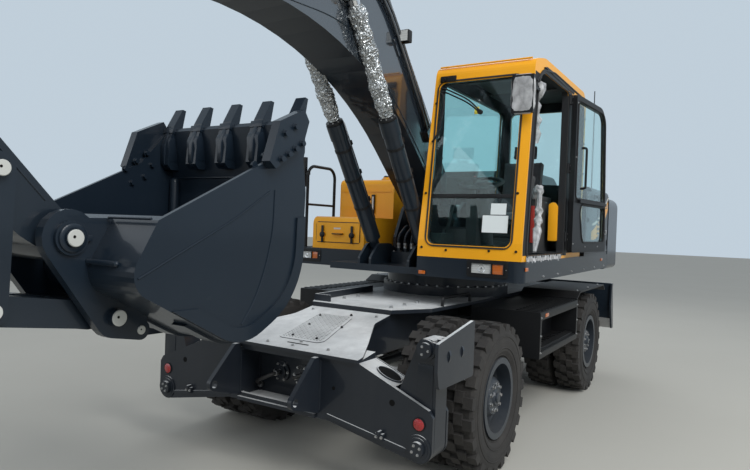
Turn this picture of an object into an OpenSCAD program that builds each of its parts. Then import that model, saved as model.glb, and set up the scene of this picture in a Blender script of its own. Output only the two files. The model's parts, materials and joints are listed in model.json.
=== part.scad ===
// Wheeled excavator of about 20 tonnes: twin tyres, folding outriggers in front, dozer blade behind.
// Millimetres. +X is the way the cab looks, +Y the machine's left, +Z up.
// All places are measured from the swing centre on the ground, then moved back by origin_x.

/* [Running gear] */
// distance between the two axles
wheelbase = 2800; // [2700:10:2900]
// front axle ahead of the swing centre
front_axle_x = 1700; // [1650:10:1750]
// tyre radius out to the lug tips
tyre_r = 525; // [510:1:535]
// width of one tyre of a pair
tyre_w = 270; // [250:1:280]
// gap between the two tyres of a pair
dual_gap = 45; // [35:1:60]
// half the width over the outer tyres
half_width = 1250; // [1230:1:1280]

/* [Undercarriage] */
// half the width of the chassis box
frame_hw = 340; // [300:1:360]
// height of the chassis deck
deck_z = 1060; // [1040:1:1080]
// front face of the outrigger beam
beam_x = 2634; // [2600:1:2680]
// depth of the outrigger beam, front plate to rear plate
beam_d = 214; // [190:1:224]
// distance of a leg's lower pin from the middle plane
leg_pin_y = 1085; // [1060:1:1100]
// height of a leg's lower pin
leg_pin_z = 410; // [400:1:430]
// height of a stowed pad's pivot above the leg's lower pin
leg_len = 581; // [540:1:600]

/* [Upper structure] */
// underside of the revolving platform
deck_low = 1300; // [1290:1:1320]
// top of the platform and foot of the cab
deck_top = 1465; // [1450:1:1480]
// front face of the cab at its foot
cab_x = 1289; // [1250:1:1310]
// cab side next to the boom
cab_y0 = 330; // [325:1:345]
// outer side of the cab
cab_y1 = 1222; // [1200:1:1230]
// top of the cab roof
cab_top = 3110; // [3000:5:3150]
// radius that the counterweight's tail sweeps
tail_r = 2750; // [2650:10:2850]
// how far the open door stands back from shut
door_open = 175; // [160:1:178]

/* [Boom, arm and bucket] */
// width of the boom box
boom_w = 404; // [380:2:406]
// width of the arm box
arm_w = 300; // [270:2:320]
// width over the bucket's side plates
bucket_w = 1090; // [900:10:1150]
// tooth spacing across the lip
tooth_pitch = 250; // [200:5:265]
// bucket plate thickness
plate_t = 24; // [18:1:30]

/* [Hidden] */
$fn = 48;
rear_axle_x = front_axle_x - wheelbase;
axle_z = tyre_r;
outer_tyre_y = half_width - tyre_w / 2;
inner_tyre_y = outer_tyre_y - tyre_w - dual_gap;
kingpin_y = 720;
bead_r = 262;
lug_count = 23;
pin_r = 40;
gap = 1;
fit = 0.3;
hub_r = 96;

// joint pins of the working arm in the side plane [x, z], boom raised, arm and bucket drawn in
boom_foot = [200, 1790];
cyl_foot = [960, 1450];
cyl_head = [2280, 3340];
arm_pivot = [5740, 2967];
arm_cyl_foot = [2750, 3830];
bucket_pin = [4274, 1603];
link_pin = [4047, 1240];
rocker_pin = [4555, 1872];
joint_pin = [4572, 1314];
arm_dir = unit(bucket_pin - arm_pivot);
arm_out = [-arm_dir[1], arm_dir[0]];
arm_cyl_head = on_arm(-779, 41);
bucket_cyl_foot = on_arm(-150, 420);
door_hinge = [100, 1236];
blade_pivot = [-1450, 590];
blade_cyl_foot = [-1640, 930];
blade_cyl_head = [-2180, 800];
boom_cyl_y = boom_w / 2 + 50;
// gland end of a boom barrel from its foot pin, and of a blade barrel's closed end
boom_gland = 1315;
blade_barrel_from = 125;
blade_cyl_y = 435;
// the origin lies under the middle of the box, from the arm's tail to the counterweight's
tail_boss_r = 80;
origin_x = (arm_cyl_head[0] + tail_boss_r - tail_r) / 2;
// the open door and the right mirror reach equally far out
door_reach = door_hinge[1] + 960 * sin(door_open) - 86 * cos(door_open);

// plane helpers
function unit(v) = v / norm(v);
function turn(v, a) = [v[0] * cos(a) - v[1] * sin(a), v[0] * sin(a) + v[1] * cos(a)];
function on_arm(a, b) = arm_pivot + a * arm_dir + b * arm_out;
function wrap(a) = a > 180 ? a - 360 : (a < -180 ? a + 360 : a);
// points of the arc that rounds the corner q between p and s
function corner(p, q, s, r, n) =
  let (a = unit(p - q), b = unit(s - q), h = acos(a * b) / 2)
  let (c = q + unit(a + b) * r / sin(h), u = q + a * r / tan(h) - c, v = q + b * r / tan(h) - c)
  let (t0 = atan2(u[1], u[0]), dt = wrap(atan2(v[1], v[0]) - t0))
  [for (i = [0 : n]) c + r * [cos(t0 + dt * i / n), sin(t0 + dt * i / n)]];
// outline from corners [x, y, radius]; radius 0 leaves a sharp corner
function flat(l) = [for (a = l) for (b = a) b];
function rounded(k, n = 6) =
  let (m = len(k))
  flat([for (i = [0 : m - 1])
    let (p = k[(i + m - 1) % m], q = k[i], s = k[(i + 1) % m])
    q[2] > 0 ? corner([p[0], p[1]], [q[0], q[1]], [s[0], s[1]], q[2], n) : [[q[0], q[1]]]]);
// each corner of a ring moved inwards by t; the ring runs anticlockwise
function inset(k, t) =
  let (m = len(k))
  [for (i = [0 : m - 1])
    let (p = k[(i + m - 1) % m], q = k[i], s = k[(i + 1) % m])
    let (a = unit([q[0] - p[0], q[1] - p[1]]), b = unit([s[0] - q[0], s[1] - q[1]]))
    let (na = [-a[1], a[0]], nb = [-b[1], b[0]], w = (na + nb) / (1 + na * nb))
    [q[0] + w[0] * t, q[1] + w[1] * t, max(q[2] - t, 0)]];

// solids helpers
module along_y(y0, y1) {
  translate([0, y1, 0])
    rotate([90, 0, 0])
      linear_extrude(height = y1 - y0)
        children();
}
module along_x(x0, x1) {
  translate([x0, 0, 0])
    rotate([90, 0, 90])
      linear_extrude(height = x1 - x0)
        children();
}
module pin_y(c, r, y0, y1) {
  translate([c[0], y1, c[1]])
    rotate([90, 0, 0])
      cylinder(r = r, h = y1 - y0);
}
module pin_x(c, r, x0, x1) {
  translate([x0, c[0], c[1]])
    rotate([0, 90, 0])
      cylinder(r = r, h = x1 - x0);
}
module both() {
  children();
  mirror([0, 1, 0])
    children();
}
// plate outline round two pins a and b, with straight sides that touch both circles
module link2d(a, ra, b, rb, n = 10) {
  t = atan2(b[1] - a[1], b[0] - a[0]);
  c = acos((ra - rb) / norm(b - a));
  polygon(concat(
    [for (i = [0 : n]) a + ra * [cos(t + c + i * (360 - 2 * c) / n), sin(t + c + i * (360 - 2 * c) / n)]],
    [for (i = [0 : n]) b + rb * [cos(t - c + i * 2 * c / n), sin(t - c + i * 2 * c / n)]]));
}
module rrect(x0, x1, y0, y1, r) {
  polygon(rounded([[x0, y0, r], [x1, y0, r], [x1, y1, r], [x0, y1, r]], 5));
}
module ring2d(c, ro, ri) {
  translate(c)
    difference() {
      circle(r = ro);
      circle(r = ri);
    }
}
// rod or barrel lying from p to q in the side plane at y
module strut(p, q, y, r, from, to) {
  d = unit(q - p);
  translate([p[0] + d[0] * from, y, p[1] + d[1] * from])
    rotate([0, 90 - atan2(d[1], d[0]), 0])
      cylinder(r = r, h = to - from);
}
module at_origin() {
  translate([-origin_x, 0, 0])
    children();
}

// undercarriage
module chassis_frame() {
  color([0.16, 0.19, 0.22])
  at_origin() {
    along_y(-frame_hw, frame_hw)
      polygon([[-1950, deck_z - 30], [1770, deck_z - 30], [1770, 1000.5], [beam_x - beam_d, 887.5],
        [beam_x - beam_d, 452], [2080, 560], [1950, 730], [1400, 730], [1150, 620],
        [-620, 620], [-780, 730], [-1420, 730], [-1560, 640], [-1700, 640], [-1950, 760]]);
    translate([0, 0, deck_z - 30])
      linear_extrude(height = 30)
        polygon(rounded([[1770, -375, 0], [1770, 375, 0], [1450, 560, 60], [600, 620, 200],
          [-600, 620, 200], [-1300, 496, 60], [-1960, 496, 0], [-1960, -496, 0],
          [-1300, -496, 60], [-600, -620, 200], [600, -620, 200], [1450, -560, 60]]));
    // fixed ring under the slewing bearing
    translate([0, 0, deck_z])
        cylinder(r = 640, h = 90, $fn = 96);
    // horn plate from the deck down to the beam
    intersection() {
      translate([0, 0, 700])
        linear_extrude(height = 400)
          polygon(rounded([[1776, -372, 0], [1776, 372, 0], [2000, 372, 160], [2380, 560, 200],
            [2600, 660, 60], [beam_x + 22, 660, 0], [beam_x + 22, -660, 0], [2600, -660, 60],
            [2380, -560, 200], [2000, -372, 160]]));
      along_y(-700, 700)
        polygon([[1776, 1000], [beam_x + 22, 846], [beam_x + 22, 868], [1776, 1024]]);
    }
    // blade lugs and cylinder lugs under the tail
    both()
      for (y = [blade_cyl_y - 38, blade_cyl_y + 38])
        along_y(y - 16, y + 16)
          difference() {
            polygon(rounded([[-1380, 1040, 0], [-1360, 520, 60], [-1530, 500, 60], [-1560, 760, 0], [-1710, 860, 60],
              [-1690, 1040, 0]]));
            translate(blade_pivot)
              circle(r = pin_r + gap);
            translate(blade_cyl_foot)
              circle(r = 26);
          }
    both()
      translate([-1560, 330, 700])
        cube([140, 100, 340]);
    // guard bar along the deck's right edge, turned in at its front end
    translate([0, 0, deck_z - 1])
      linear_extrude(height = 56) {
        polygon([[1700, -394], [1700, -408], [690, -472], [690, -458]]);
        polygon([[1686, -400], [1700, -400], [1700, -250], [1686, -250]]);
      }
  }
}

module beam_face2d() {
  difference() {
    union() {
      polygon([[0, 850], [650, 845], [1146, 640], [leg_pin_y + 88, 600], [leg_pin_y + 88, leg_pin_z],
        [leg_pin_y, leg_pin_z - 88], [960, 345], [430, 447], [0, 450]]);
      translate([leg_pin_y, leg_pin_z])
        circle(r = 88);
    }
    translate([leg_pin_y, leg_pin_z])
      circle(r = pin_r + gap);
  }
}
module outrigger_beam() {
  color([0.16, 0.19, 0.22])
  at_origin() {
    // front plate with the middle bay cut out, rear plate against the chassis
    along_x(beam_x - 26, beam_x)
      difference() {
        both2d()
          beam_face2d();
        rrect(-330, 330, 500, 806, 20);
      }
    difference() {
      along_x(beam_x - beam_d, beam_x - beam_d + 24)
        both2d()
          beam_face2d();
      along_x(beam_x - beam_d - 1, beam_x - beam_d + 30)
        rrect(-frame_hw + 20, frame_hw - 20, 470, 830, 20);
    }
    // sloping covers, bottom plate and end stops between the two plates
    both() {
      along_x(beam_x - beam_d + 10, beam_x - 10)
        polygon([[frame_hw - 10, 850], [648, 845], [905, 739], [897, 718], [640, 823], [frame_hw - 10, 826]]);
      along_x(beam_x - beam_d + 10, beam_x - 10)
        polygon([[frame_hw - 10, 448], [430, 447], [880, 362], [884, 384], [434, 469], [frame_hw - 10, 470]]);
      along_x(beam_x - beam_d + 10, beam_x - 10)
        polygon([[845, 372], [870, 367], [870, 752], [845, 762]]);
    }
    along_y(-650, 650)
      polygon([[beam_x - beam_d + 10, 826], [beam_x - 2, 826], [beam_x - 2, 849.6], [beam_x - beam_d + 10, 885]]);
    // web at the back of the middle bay with two round cylinder flanges
    along_x(beam_x - beam_d + fit, beam_x - beam_d + 14)
      square_between(-frame_hw + 5, frame_hw - 5, 455, 850);
    for (y = [-120, 60])
      for (s = [[72, 16], [48, 30], [20, 44]])
        pin_x([y, 640], s[0], beam_x - beam_d + 10, beam_x - beam_d + 12 + s[1]);
    along_x(beam_x - beam_d, beam_x + 20)
      square_between(-frame_hw, frame_hw, 450, 474);
    // doubler plates round the leg pins and stops above the legs
    both() {
      along_x(beam_x - 1, beam_x + 8)
        difference() {
          translate([leg_pin_y, leg_pin_z])
            circle(r = 82);
          translate([leg_pin_y, leg_pin_z])
            circle(r = pin_r + gap);
        }
      along_x(beam_x - 1, beam_x + 10)
        polygon([[420, 470], [980, 372], [1010, 380], [1010, 395], [430, 492]]);
    }
    // forward lugs beside the bay
    both()
      along_y(330, 362)
        difference() {
          union() {
            polygon([[beam_x - beam_d, 474], [beam_x - 26, 474], [2888, 557], [2908, 632],
              [beam_x + 60, 846], [beam_x - beam_d, 846]]);
            translate([2878, 600])
              circle(r = 44);
          }
          translate([2878, 600])
            circle(r = 25);
        }
    // fixed pins of the legs with their cap plates
    both() {
      pin_x([leg_pin_y, leg_pin_z], pin_r, beam_x - beam_d - 4, beam_x + 10);
      pin_x([leg_pin_y, leg_pin_z], 66, beam_x - 1, beam_x + 12);
      pin_x([leg_pin_y, leg_pin_z], 46, beam_x + 11, beam_x + 34);
    }
  }
}
module both2d() {
  children();
  mirror([1, 0])
    children();
}
module square_between(x0, x1, y0, y1) {
  translate([x0, y0])
    square([x1 - x0, y1 - y0]);
}

// one outrigger leg on the left, folded up
module leg() {
  x0 = beam_x - beam_d + 32;
  x1 = beam_x - 34;
  at_origin() {
    along_x(x0, x1)
      difference() {
        polygon(rounded([[leg_pin_y + 86, leg_pin_z - 84, 82], [leg_pin_y + 86, leg_pin_z + leg_len + 58, 56],
          [leg_pin_y - 30, leg_pin_z + leg_len + 58, 40], [915, 690, 40], [915, 600, 40],
          [leg_pin_y - 80, leg_pin_z - 84, 70]]));
        translate([leg_pin_y, leg_pin_z])
          circle(r = pin_r + gap);
        translate([leg_pin_y + 28, leg_pin_z + leg_len])
          circle(r = 30);
      }
  }
}
module leg_l() {
  color([0.17, 0.2, 0.23])
    leg();
}
module leg_r() {
  color([0.17, 0.2, 0.23])
    mirror([0, 1, 0])
      leg();
}

// one outrigger pad on the left, stowed upright
module pad() {
  px = beam_x - beam_d / 2 - 1;
  py = leg_pin_y + 28;
  pz = leg_pin_z + leg_len;
  at_origin() {
    along_y(1234, 1254)
      polygon(rounded([[px - 275, 792, 20], [px + 215, 800, 40], [px + 240, 900, 20], [px + 240, 1060, 20],
        [px - 275, 1140, 20]], 3));
    for (s = [-1, 1])
      along_x(px + s * 92 - 11, px + s * 92 + 11) {
        link2d([py, pz], 52, [1205, pz - 20], 60);
        square_between(1180, 1235, pz - 90, pz + 70);
      }
    pin_x([py, pz], 29, px - 118, px + 118);
    for (s = [[62, 14], [46, 34]])
      pin_x([py, pz], s[0], px + 100, px + 103 + s[1]);
  }
}
module pad_l() {
  color([0.2, 0.22, 0.24])
    pad();
}
module pad_r() {
  color([0.2, 0.22, 0.24])
    mirror([0, 1, 0])
      pad();
}

module step_boxes() {
  color([0.1, 0.11, 0.12])
  at_origin()
    both() {
      // open-fronted box between the axles
      difference() {
        translate([-440, 640, 650])
          cube([1270, 608, 385]);
        translate([-395, 1010, 705])
          cube([1180, 300, 262]);
      }
      // frame arms that carry the box
      for (x = [-380, 300])
        translate([x, frame_hw + fit, 880])
          cube([120, 310, 110]);
      // lower rung and ribs on both treads
      translate([-395, 1150, 700])
        cube([1180, 70, 22]);
      for (i = [0 : 13])
        translate([-390 + i * 88, 1030, 1030])
          cube([34, 205, 12]);
      for (i = [0 : 10])
        translate([-340 + i * 104, 1080, 700])
          cube([30, 60, 14]);
      // mudguard over the rear tyres
      along_y(660, 1248)
        polygon([[-430, 1036], [-560, 1096], [-1700, 1096], [-1780, 1040], [-1790, 1048],
          [-1704, 1110], [-556, 1110], [-425, 1049], [-425, 1000], [-440, 1000]]);
    }
}

// axle tube with its end flanges, centred at x
module axle_tube(x, end_y) {
  pin_z = axle_z;
  translate([x, end_y, pin_z])
    rotate([90, 0, 0])
      cylinder(r = 92, h = 2 * end_y);
  translate([x, 0, pin_z])
    rotate([90, 0, 0])
      rotate_extrude()
        polygon([[0, -250], [110, -250], [185, -120], [200, 0], [185, 120], [110, 250], [0, 250]]);
}
module axles() {
  color([0.12, 0.13, 0.15])
  at_origin() {
    // steering axle with its rocking mount and fork ends
    axle_tube(front_axle_x, 560);
    translate([front_axle_x - 130, -110, axle_z + 120])
      cube([260, 220, 85]);
    for (s = [-1, 1])
      translate([front_axle_x, s * (kingpin_y - 90), axle_z])
        difference() {
          translate([-85, -90, -150])
            cube([170, 180, 300]);
          translate([-120, s > 0 ? -10 : -190, -105])
            cube([240, 200, 210]);
        }
    for (s = [-1, 1])
      for (z = [-150, 105])
        translate([front_axle_x, s * kingpin_y, axle_z + z])
          cylinder(r = 62, h = 45);
    // fixed rear axle up to its hub faces, gearbox and propeller shaft
    axle_tube(rear_axle_x, 700);
    both()
      translate([rear_axle_x, 700, axle_z])
        rotate([90, 0, 0])
          cylinder(r = hub_r - fit, h = 60);
    translate([rear_axle_x - 100, -340, axle_z + 60])
      cube([200, 680, 145]);
    pin_x([0, axle_z], 70, rear_axle_x + 150, rear_axle_x + 620);
    pin_x([0, axle_z], 45, rear_axle_x + 600, front_axle_x - 150);
    for (x = [rear_axle_x + 640, front_axle_x - 260])
      pin_x([0, axle_z], 75, x, x + 60);
  }
}

// steering knuckle on the left: two ears on the kingpin, stub towards the wheel
module knuckle() {
  at_origin()
    translate([front_axle_x, kingpin_y, axle_z]) {
      translate([0, 0, -105 + fit])
        cylinder(r = 62, h = 210 - 2 * fit);
      rotate([-90, 0, 0])
        cylinder(r = hub_r - fit, h = 150);
      translate([-150, -20, -30])
        cube([130, 60, 50]);
    }
}
module knuckle_l() {
  color([0.12, 0.13, 0.15])
    knuckle();
}
module knuckle_r() {
  color([0.12, 0.13, 0.15])
    mirror([0, 1, 0])
      knuckle();
}

// tyre pair on the left at axle x
// ring of blocks across the tread: corners at radius r1 over half of each step, wider at their root r0
module lug_ring(r0, r1, y0, y1, shift) {
  step = 360 / lug_count;
  translate([0, 0, y0])
    linear_extrude(height = y1 - y0)
      difference() {
        polygon([for (i = [0 : lug_count - 1])
          for (c = [[-0.33, r0], [-0.25, r1], [0.25, r1], [0.33, r0]])
            let (a = -90 + (i + shift + c[0]) * step)
            [c[1] * cos(a), c[1] * sin(a)]]);
        circle(r = 430);
      }
}
module tyre_pair(x) {
  w = tyre_w / 2;
  // the flat of the lowest lug lies on the ground
  tip_r = tyre_r / cos(90 / lug_count);
  for (y = [inner_tyre_y, outer_tyre_y])
    translate([x - origin_x, y, axle_z])
      rotate([90, 0, 0]) {
        rotate_extrude($fn = 72)
          polygon([[bead_r, -w + 46], [284, -w + 34], [330, -w + 6], [400, -w], [450, -w + 4],
            [485, -w + 14], [tyre_r - 27, -w + 34], [tyre_r - 24, 0], [tyre_r - 27, w - 34], [485, w - 14],
            [450, w - 4], [400, w], [330, w - 6], [284, w - 34], [bead_r, w - 46]]);
        // columns: root radius, tip radius, inner edge, outer edge, shift in steps
        for (k = [[480, tip_r, 2, 62, 0], [455, tyre_r - 5, 61, w - 8, 0.24]]) {
          lug_ring(k[0], k[1], k[2], k[3], k[4]);
          lug_ring(k[0], k[1], -k[3], -k[2], 0.5 - k[4]);
        }
      }
}
module tyre_fl() {
  color([0.12, 0.11, 0.1])
    tyre_pair(front_axle_x);
}
module tyre_fr() {
  color([0.12, 0.11, 0.1])
    mirror([0, 1, 0])
      tyre_pair(front_axle_x);
}
module tyre_rl() {
  color([0.12, 0.11, 0.1])
    tyre_pair(rear_axle_x);
}
module tyre_rr() {
  color([0.12, 0.11, 0.1])
    mirror([0, 1, 0])
      tyre_pair(rear_axle_x);
}

// rim pair on the left at axle x: two wells, spacer ring, disc and planetary hub
module rim_pair(x, hub_in) {
  translate([x - origin_x, 0, axle_z])
    rotate([-90, 0, 0])
      rotate_extrude($fn = 72)
        polygon([[240, inner_tyre_y - 120], [282, inner_tyre_y - 120], [282, inner_tyre_y - 106],
          [bead_r - 0.2, inner_tyre_y - 95], [bead_r - 0.2, inner_tyre_y + 95], [282, inner_tyre_y + 106],
          [282, inner_tyre_y + 120], [262, inner_tyre_y + 120], [262, outer_tyre_y - 120],
          [282, outer_tyre_y - 120], [282, outer_tyre_y - 106], [bead_r - 0.2, outer_tyre_y - 95],
          [bead_r - 0.2, outer_tyre_y + 95], [282, outer_tyre_y + 106], [282, outer_tyre_y + 120],
          [240, outer_tyre_y + 120], [236, outer_tyre_y + 20], [215, outer_tyre_y - 30],
          [190, outer_tyre_y - 42], [190, outer_tyre_y - 60], [236, outer_tyre_y - 60]]);
  translate([x - origin_x, 0, axle_z])
    rotate([-90, 0, 0])
      difference() {
        rotate_extrude($fn = 48)
          polygon([[0, hub_in], [150, hub_in], [150, outer_tyre_y - 80], [192, outer_tyre_y - 60.5],
            [192, outer_tyre_y - 34], [150, outer_tyre_y - 30], [140, outer_tyre_y + 60],
            [118, outer_tyre_y + 86], [60, outer_tyre_y + 92], [52, outer_tyre_y + 104], [0, outer_tyre_y + 104]]);
        translate([0, 0, hub_in - 1])
          cylinder(r = hub_r, h = 40);
      }
}
module rim_fl() {
  color([0.2, 0.24, 0.27])
    rim_pair(front_axle_x, 835);
}
module rim_fr() {
  color([0.2, 0.24, 0.27])
    mirror([0, 1, 0])
      rim_pair(front_axle_x, 835);
}
module rim_rl() {
  color([0.2, 0.24, 0.27])
    rim_pair(rear_axle_x, 665);
}
module rim_rr() {
  color([0.2, 0.24, 0.27])
    mirror([0, 1, 0])
      rim_pair(rear_axle_x, 665);
}

// blade behind the rear tyres, raised
module blade() {
  color([0.14, 0.17, 0.2])
  at_origin() {
    // curved mouldboard
    along_y(-1245, 1245)
      polygon(concat(
        [for (a = [-24 : 6 : 24]) [-2880 + 590 * cos(a) + a * 1.6, 800 + 700 * sin(a)]],
        [for (a = [24 : -6 : -24]) [-2880 + 565 * cos(a) + a * 1.6, 800 + 700 * sin(a)]]));
    for (y = [-1245, 1225])
      along_y(y, y + 20)
        polygon([[-2250, 1084], [-2300, 1084], [-2420, 515], [-2340, 515], [-2230, 800]]);
    // two arms to the chassis lugs
    both() {
      along_y(blade_cyl_y - 15, blade_cyl_y + 15)
        link2d(blade_pivot, 70, [-2300, 660], 90);
      for (y = [blade_cyl_y - 30, blade_cyl_y + 30])
        along_y(y - 7, y + 7)
          link2d([-2280, 740], 90, blade_cyl_head, 46);
      pin_y(blade_pivot, pin_r, 372, 498);
      // the rod's eye runs free between the plates, so its pin shows as a head on each
      for (y = [blade_cyl_y - 50, blade_cyl_y + 36])
        pin_y(blade_cyl_head, 25, y, y + 14);
    }
  }
}
module blade_barrels() {
  color([0.1, 0.11, 0.12])
  at_origin()
    both() {
      difference() {
        union() {
          strut(blade_cyl_foot, blade_cyl_head, blade_cyl_y, 16, 20, blade_barrel_from + 5);
          strut(blade_cyl_foot, blade_cyl_head, blade_cyl_y, 42, blade_barrel_from, 425);
          pin_y(blade_cyl_foot, 44, blade_cyl_y - 20, blade_cyl_y + 20);
        }
        strut(blade_cyl_foot, blade_cyl_head, blade_cyl_y, 22, blade_barrel_from + 12, 430);
      }
      pin_y(blade_cyl_foot, 25, 372, 498);
    }
}
module blade_rods() {
  color([0.75, 0.76, 0.78])
  at_origin()
    both() {
      strut(blade_cyl_foot, blade_cyl_head, blade_cyl_y, 21.4, 150, norm(blade_cyl_head - blade_cyl_foot) - 30);
      pin_y(blade_cyl_head, 44, blade_cyl_y - 20, blade_cyl_y + 20);
    }
}

// revolving platform
module revolving_frame() {
  color([0.15, 0.18, 0.21])
  at_origin() {
    // slewing bearing and bottom plate
    translate([0, 0, deck_z + 90 + fit])
      cylinder(r = 600, h = deck_low - deck_z - 90, $fn = 96);
    translate([-1904.7, -620, deck_low])
      cube([3104.7, 1240, 60]);
    // cab skirt with its lamp recess
    difference() {
      union() {
        translate([0, 0, deck_low])
          linear_extrude(height = deck_top - deck_low)
            polygon(rounded([[cab_x, cab_y0, 0], [cab_x, 1236, 70], [-1900, 1236, 0], [-1900, cab_y0, 0]]));
        translate([0, 0, deck_low])
          linear_extrude(height = deck_top - deck_low)
            polygon(rounded([[930, -372, 0], [-1900, -372, 0], [-1900, -1236, 0], [930, -1236, 70]]));
      }
      translate([cab_x - 40, 800, deck_low + 45])
        cube([60, 300, 100]);
      translate([930 - 40, -1180, deck_low + 45])
        cube([60, 230, 90]);
    }
    // boom foot and cylinder brackets
    both() {
      along_y(290, 322)
        polygon([[-700, deck_low + 50], [560, deck_low + 50], [560, 1600], [420, 1880],
          [330, 1960], [80, 1960], [-100, 1850], [-700, 1560]]);
      for (y = [boom_cyl_y - 59, boom_cyl_y + 59])
        along_y(y - 12, y + 12)
          difference() {
            polygon(rounded([[700, deck_low + 50, 0], [1190, deck_low + 50, 0], [1190, 1420, 40],
              [1060, 1545, 80], [860, 1545, 80], [700, 1470, 0]]));
            translate(cyl_foot)
              circle(r = 41);
          }
    }
    pin_y(boom_foot, 55, -321, 321);
    // valve block between the brackets, with its four hoses
    translate([620, -140, deck_low + 59])
      cube([280, 280, 111]);
    for (y = [-105, -35, 35, 105]) {
      pipe(bent([[830, 1460], [838, 1610, 70], [690, 1712, 90], [540, 1690, 90], [452, 1560, 90], [440, 1350]], 4), y, 14);
      translate([830, y, 1469])
        cylinder(r = 22, h = 34, $fn = 6);
    }
    // engine, one plain block on the tail of the platform
    translate([-1780, -560, deck_low + 60])
      cube([820, 1120, 700]);
  }
}

module counterweight() {
  color([0.13, 0.15, 0.17])
  at_origin() {
    for (s = [-1, 1])
      along_y(s * 520 - 14, s * 520 + 14)
        difference() {
          polygon(rounded([[-2330, 2149, 0], [-2190, 2149, 0], [-2215, 2225, 30], [-2305, 2225, 30]]));
          translate([-2260, 2188])
            circle(r = 22);
        }
    intersection() {
      translate([0, 0, 1278])
        linear_extrude(height = 900)
          difference() {
            circle(r = tail_r, $fn = 180);
            translate([-1905, -1500])
              square([5000, 3000]);
          }
      translate([-3000, 0, 0])
        along_x(0, 1200)
          polygon(rounded([[-1236, 1278, 60], [1236, 1278, 60], [1236, 2150, 120], [-1236, 2150, 120]]));
    }
  }
}

module side_panels() {
  color([0.2, 0.23, 0.26])
  at_origin() {
    // left side doors behind the cab and right side doors behind the tank
    difference() {
      translate([-1900, 640, deck_top])
        cube([1180, 590, 680]);
      translate([-1860, 600, deck_top + 40])
        cube([1100, 590, 700]);
    }
    difference() {
      translate([-1900, -1230, deck_top])
        cube([990, 590, 680]);
      translate([-1860, -1190, deck_top + 40])
        cube([910, 590, 700]);
    }
    // louvres in both sides
    for (s = [-1, 1])
      for (i = [0 : 7])
        translate([-1640, s > 0 ? 1228 : -1236, deck_top + 180 + i * 50])
          cube([380, 8, 22]);
    // rear bulkhead across the machine, joined to both sides
    translate([-1900, -640, deck_top + 300])
      cube([60, 1280, 380]);
  }
}

module engine_hood() {
  color([0.2, 0.23, 0.26])
  at_origin() {
    // intake ribs on the top and grab bars at both edges
    for (i = [0 : 8])
      translate([-1760 + i * 62, -380, 2386])
        cube([28, 760, 12]);
    both()
      for (x = [-1700, -1250])
        translate([x, 900, 2205])
          cube([30, 24, 52]);
    both()
      translate([-1700, 900, 2240])
        cube([480, 24, 20]);
    // knuckles of the hinge along the front edge
    both()
      for (y = [120, 860])
        pin_y([-952, 2158], 12, y, y + 110);
    difference() {
      along_x(-1895, -960)
        polygon(rounded([[-1225, 2145.3, 0], [1225, 2145.3, 0], [1225, 2200, 50], [640, 2230, 80], [560, 2390, 60],
          [-560, 2390, 60], [-640, 2230, 80], [-1225, 2200, 50]]));
      along_x(-1860, -995)
        polygon([[-1190, 2100], [1190, 2100], [1190, 2175], [610, 2200], [530, 2355],
          [-530, 2355], [-610, 2200], [-1190, 2175]]);
    }
  }
}

module right_tank() {
  color([0.85, 0.5, 0.08])
  at_origin() {
    // fuel and oil tank
    along_y(-1130, -460)
      polygon(rounded([[-900, deck_top, 0], [340, deck_top, 0], [340, 2190, 60], [-900, 2190, 60]]));
    // toolbox ahead of it
    along_y(-1060, -450)
      polygon(rounded([[345, deck_top, 0], [900, deck_top, 0], [900, 1780, 70], [345, 1780, 0]]));
    // lid of the toolbox with its latches, seams and steps of the tank
    translate([880, -1010, 1530])
      cube([28, 510, 190]);
    for (y = [-950, -600])
      translate([900, y, 1560])
        cube([16, 40, 70]);
    translate([900, -800, 1600])
      cube([26, 110, 22]);
    for (z = [1620, 2060])
      translate([330, -1100, z])
        cube([18, 610, 16]);
    along_x(-860, 300)
      polygon([[-1136, 1530], [-1129, 1530], [-1129, 2100], [-1136, 2094]]);
    // filler cap on its neck and a breather
    translate([-100, -800, 2185])
      cylinder(r = 70, h = 45);
    translate([-100, -800, 2228])
      cylinder(r = 50, h = 22);
    translate([120, -620, 2185])
      cylinder(r = 34, h = 70);
  }
}

// cab
cab_lean = 165;
cab_back = -560;
cab_floor = deck_top + 54;
module cab_side2d() {
  polygon(rounded([[cab_back, deck_top, 0], [cab_x, deck_top, 0], [cab_x, 1600, 0], [cab_x - cab_lean, cab_top - 60, 90],
    [cab_x - 420, cab_top, 500], [cab_back, cab_top, 120]]));
}
module cab_front2d(t) {
  polygon([[cab_y0 + t, deck_top + t - 1], [cab_y1 - t, deck_top + t - 1], [cab_y1 - t, cab_top - t],
    [cab_y0 + 45 + t, cab_top - t]]);
}
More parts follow.
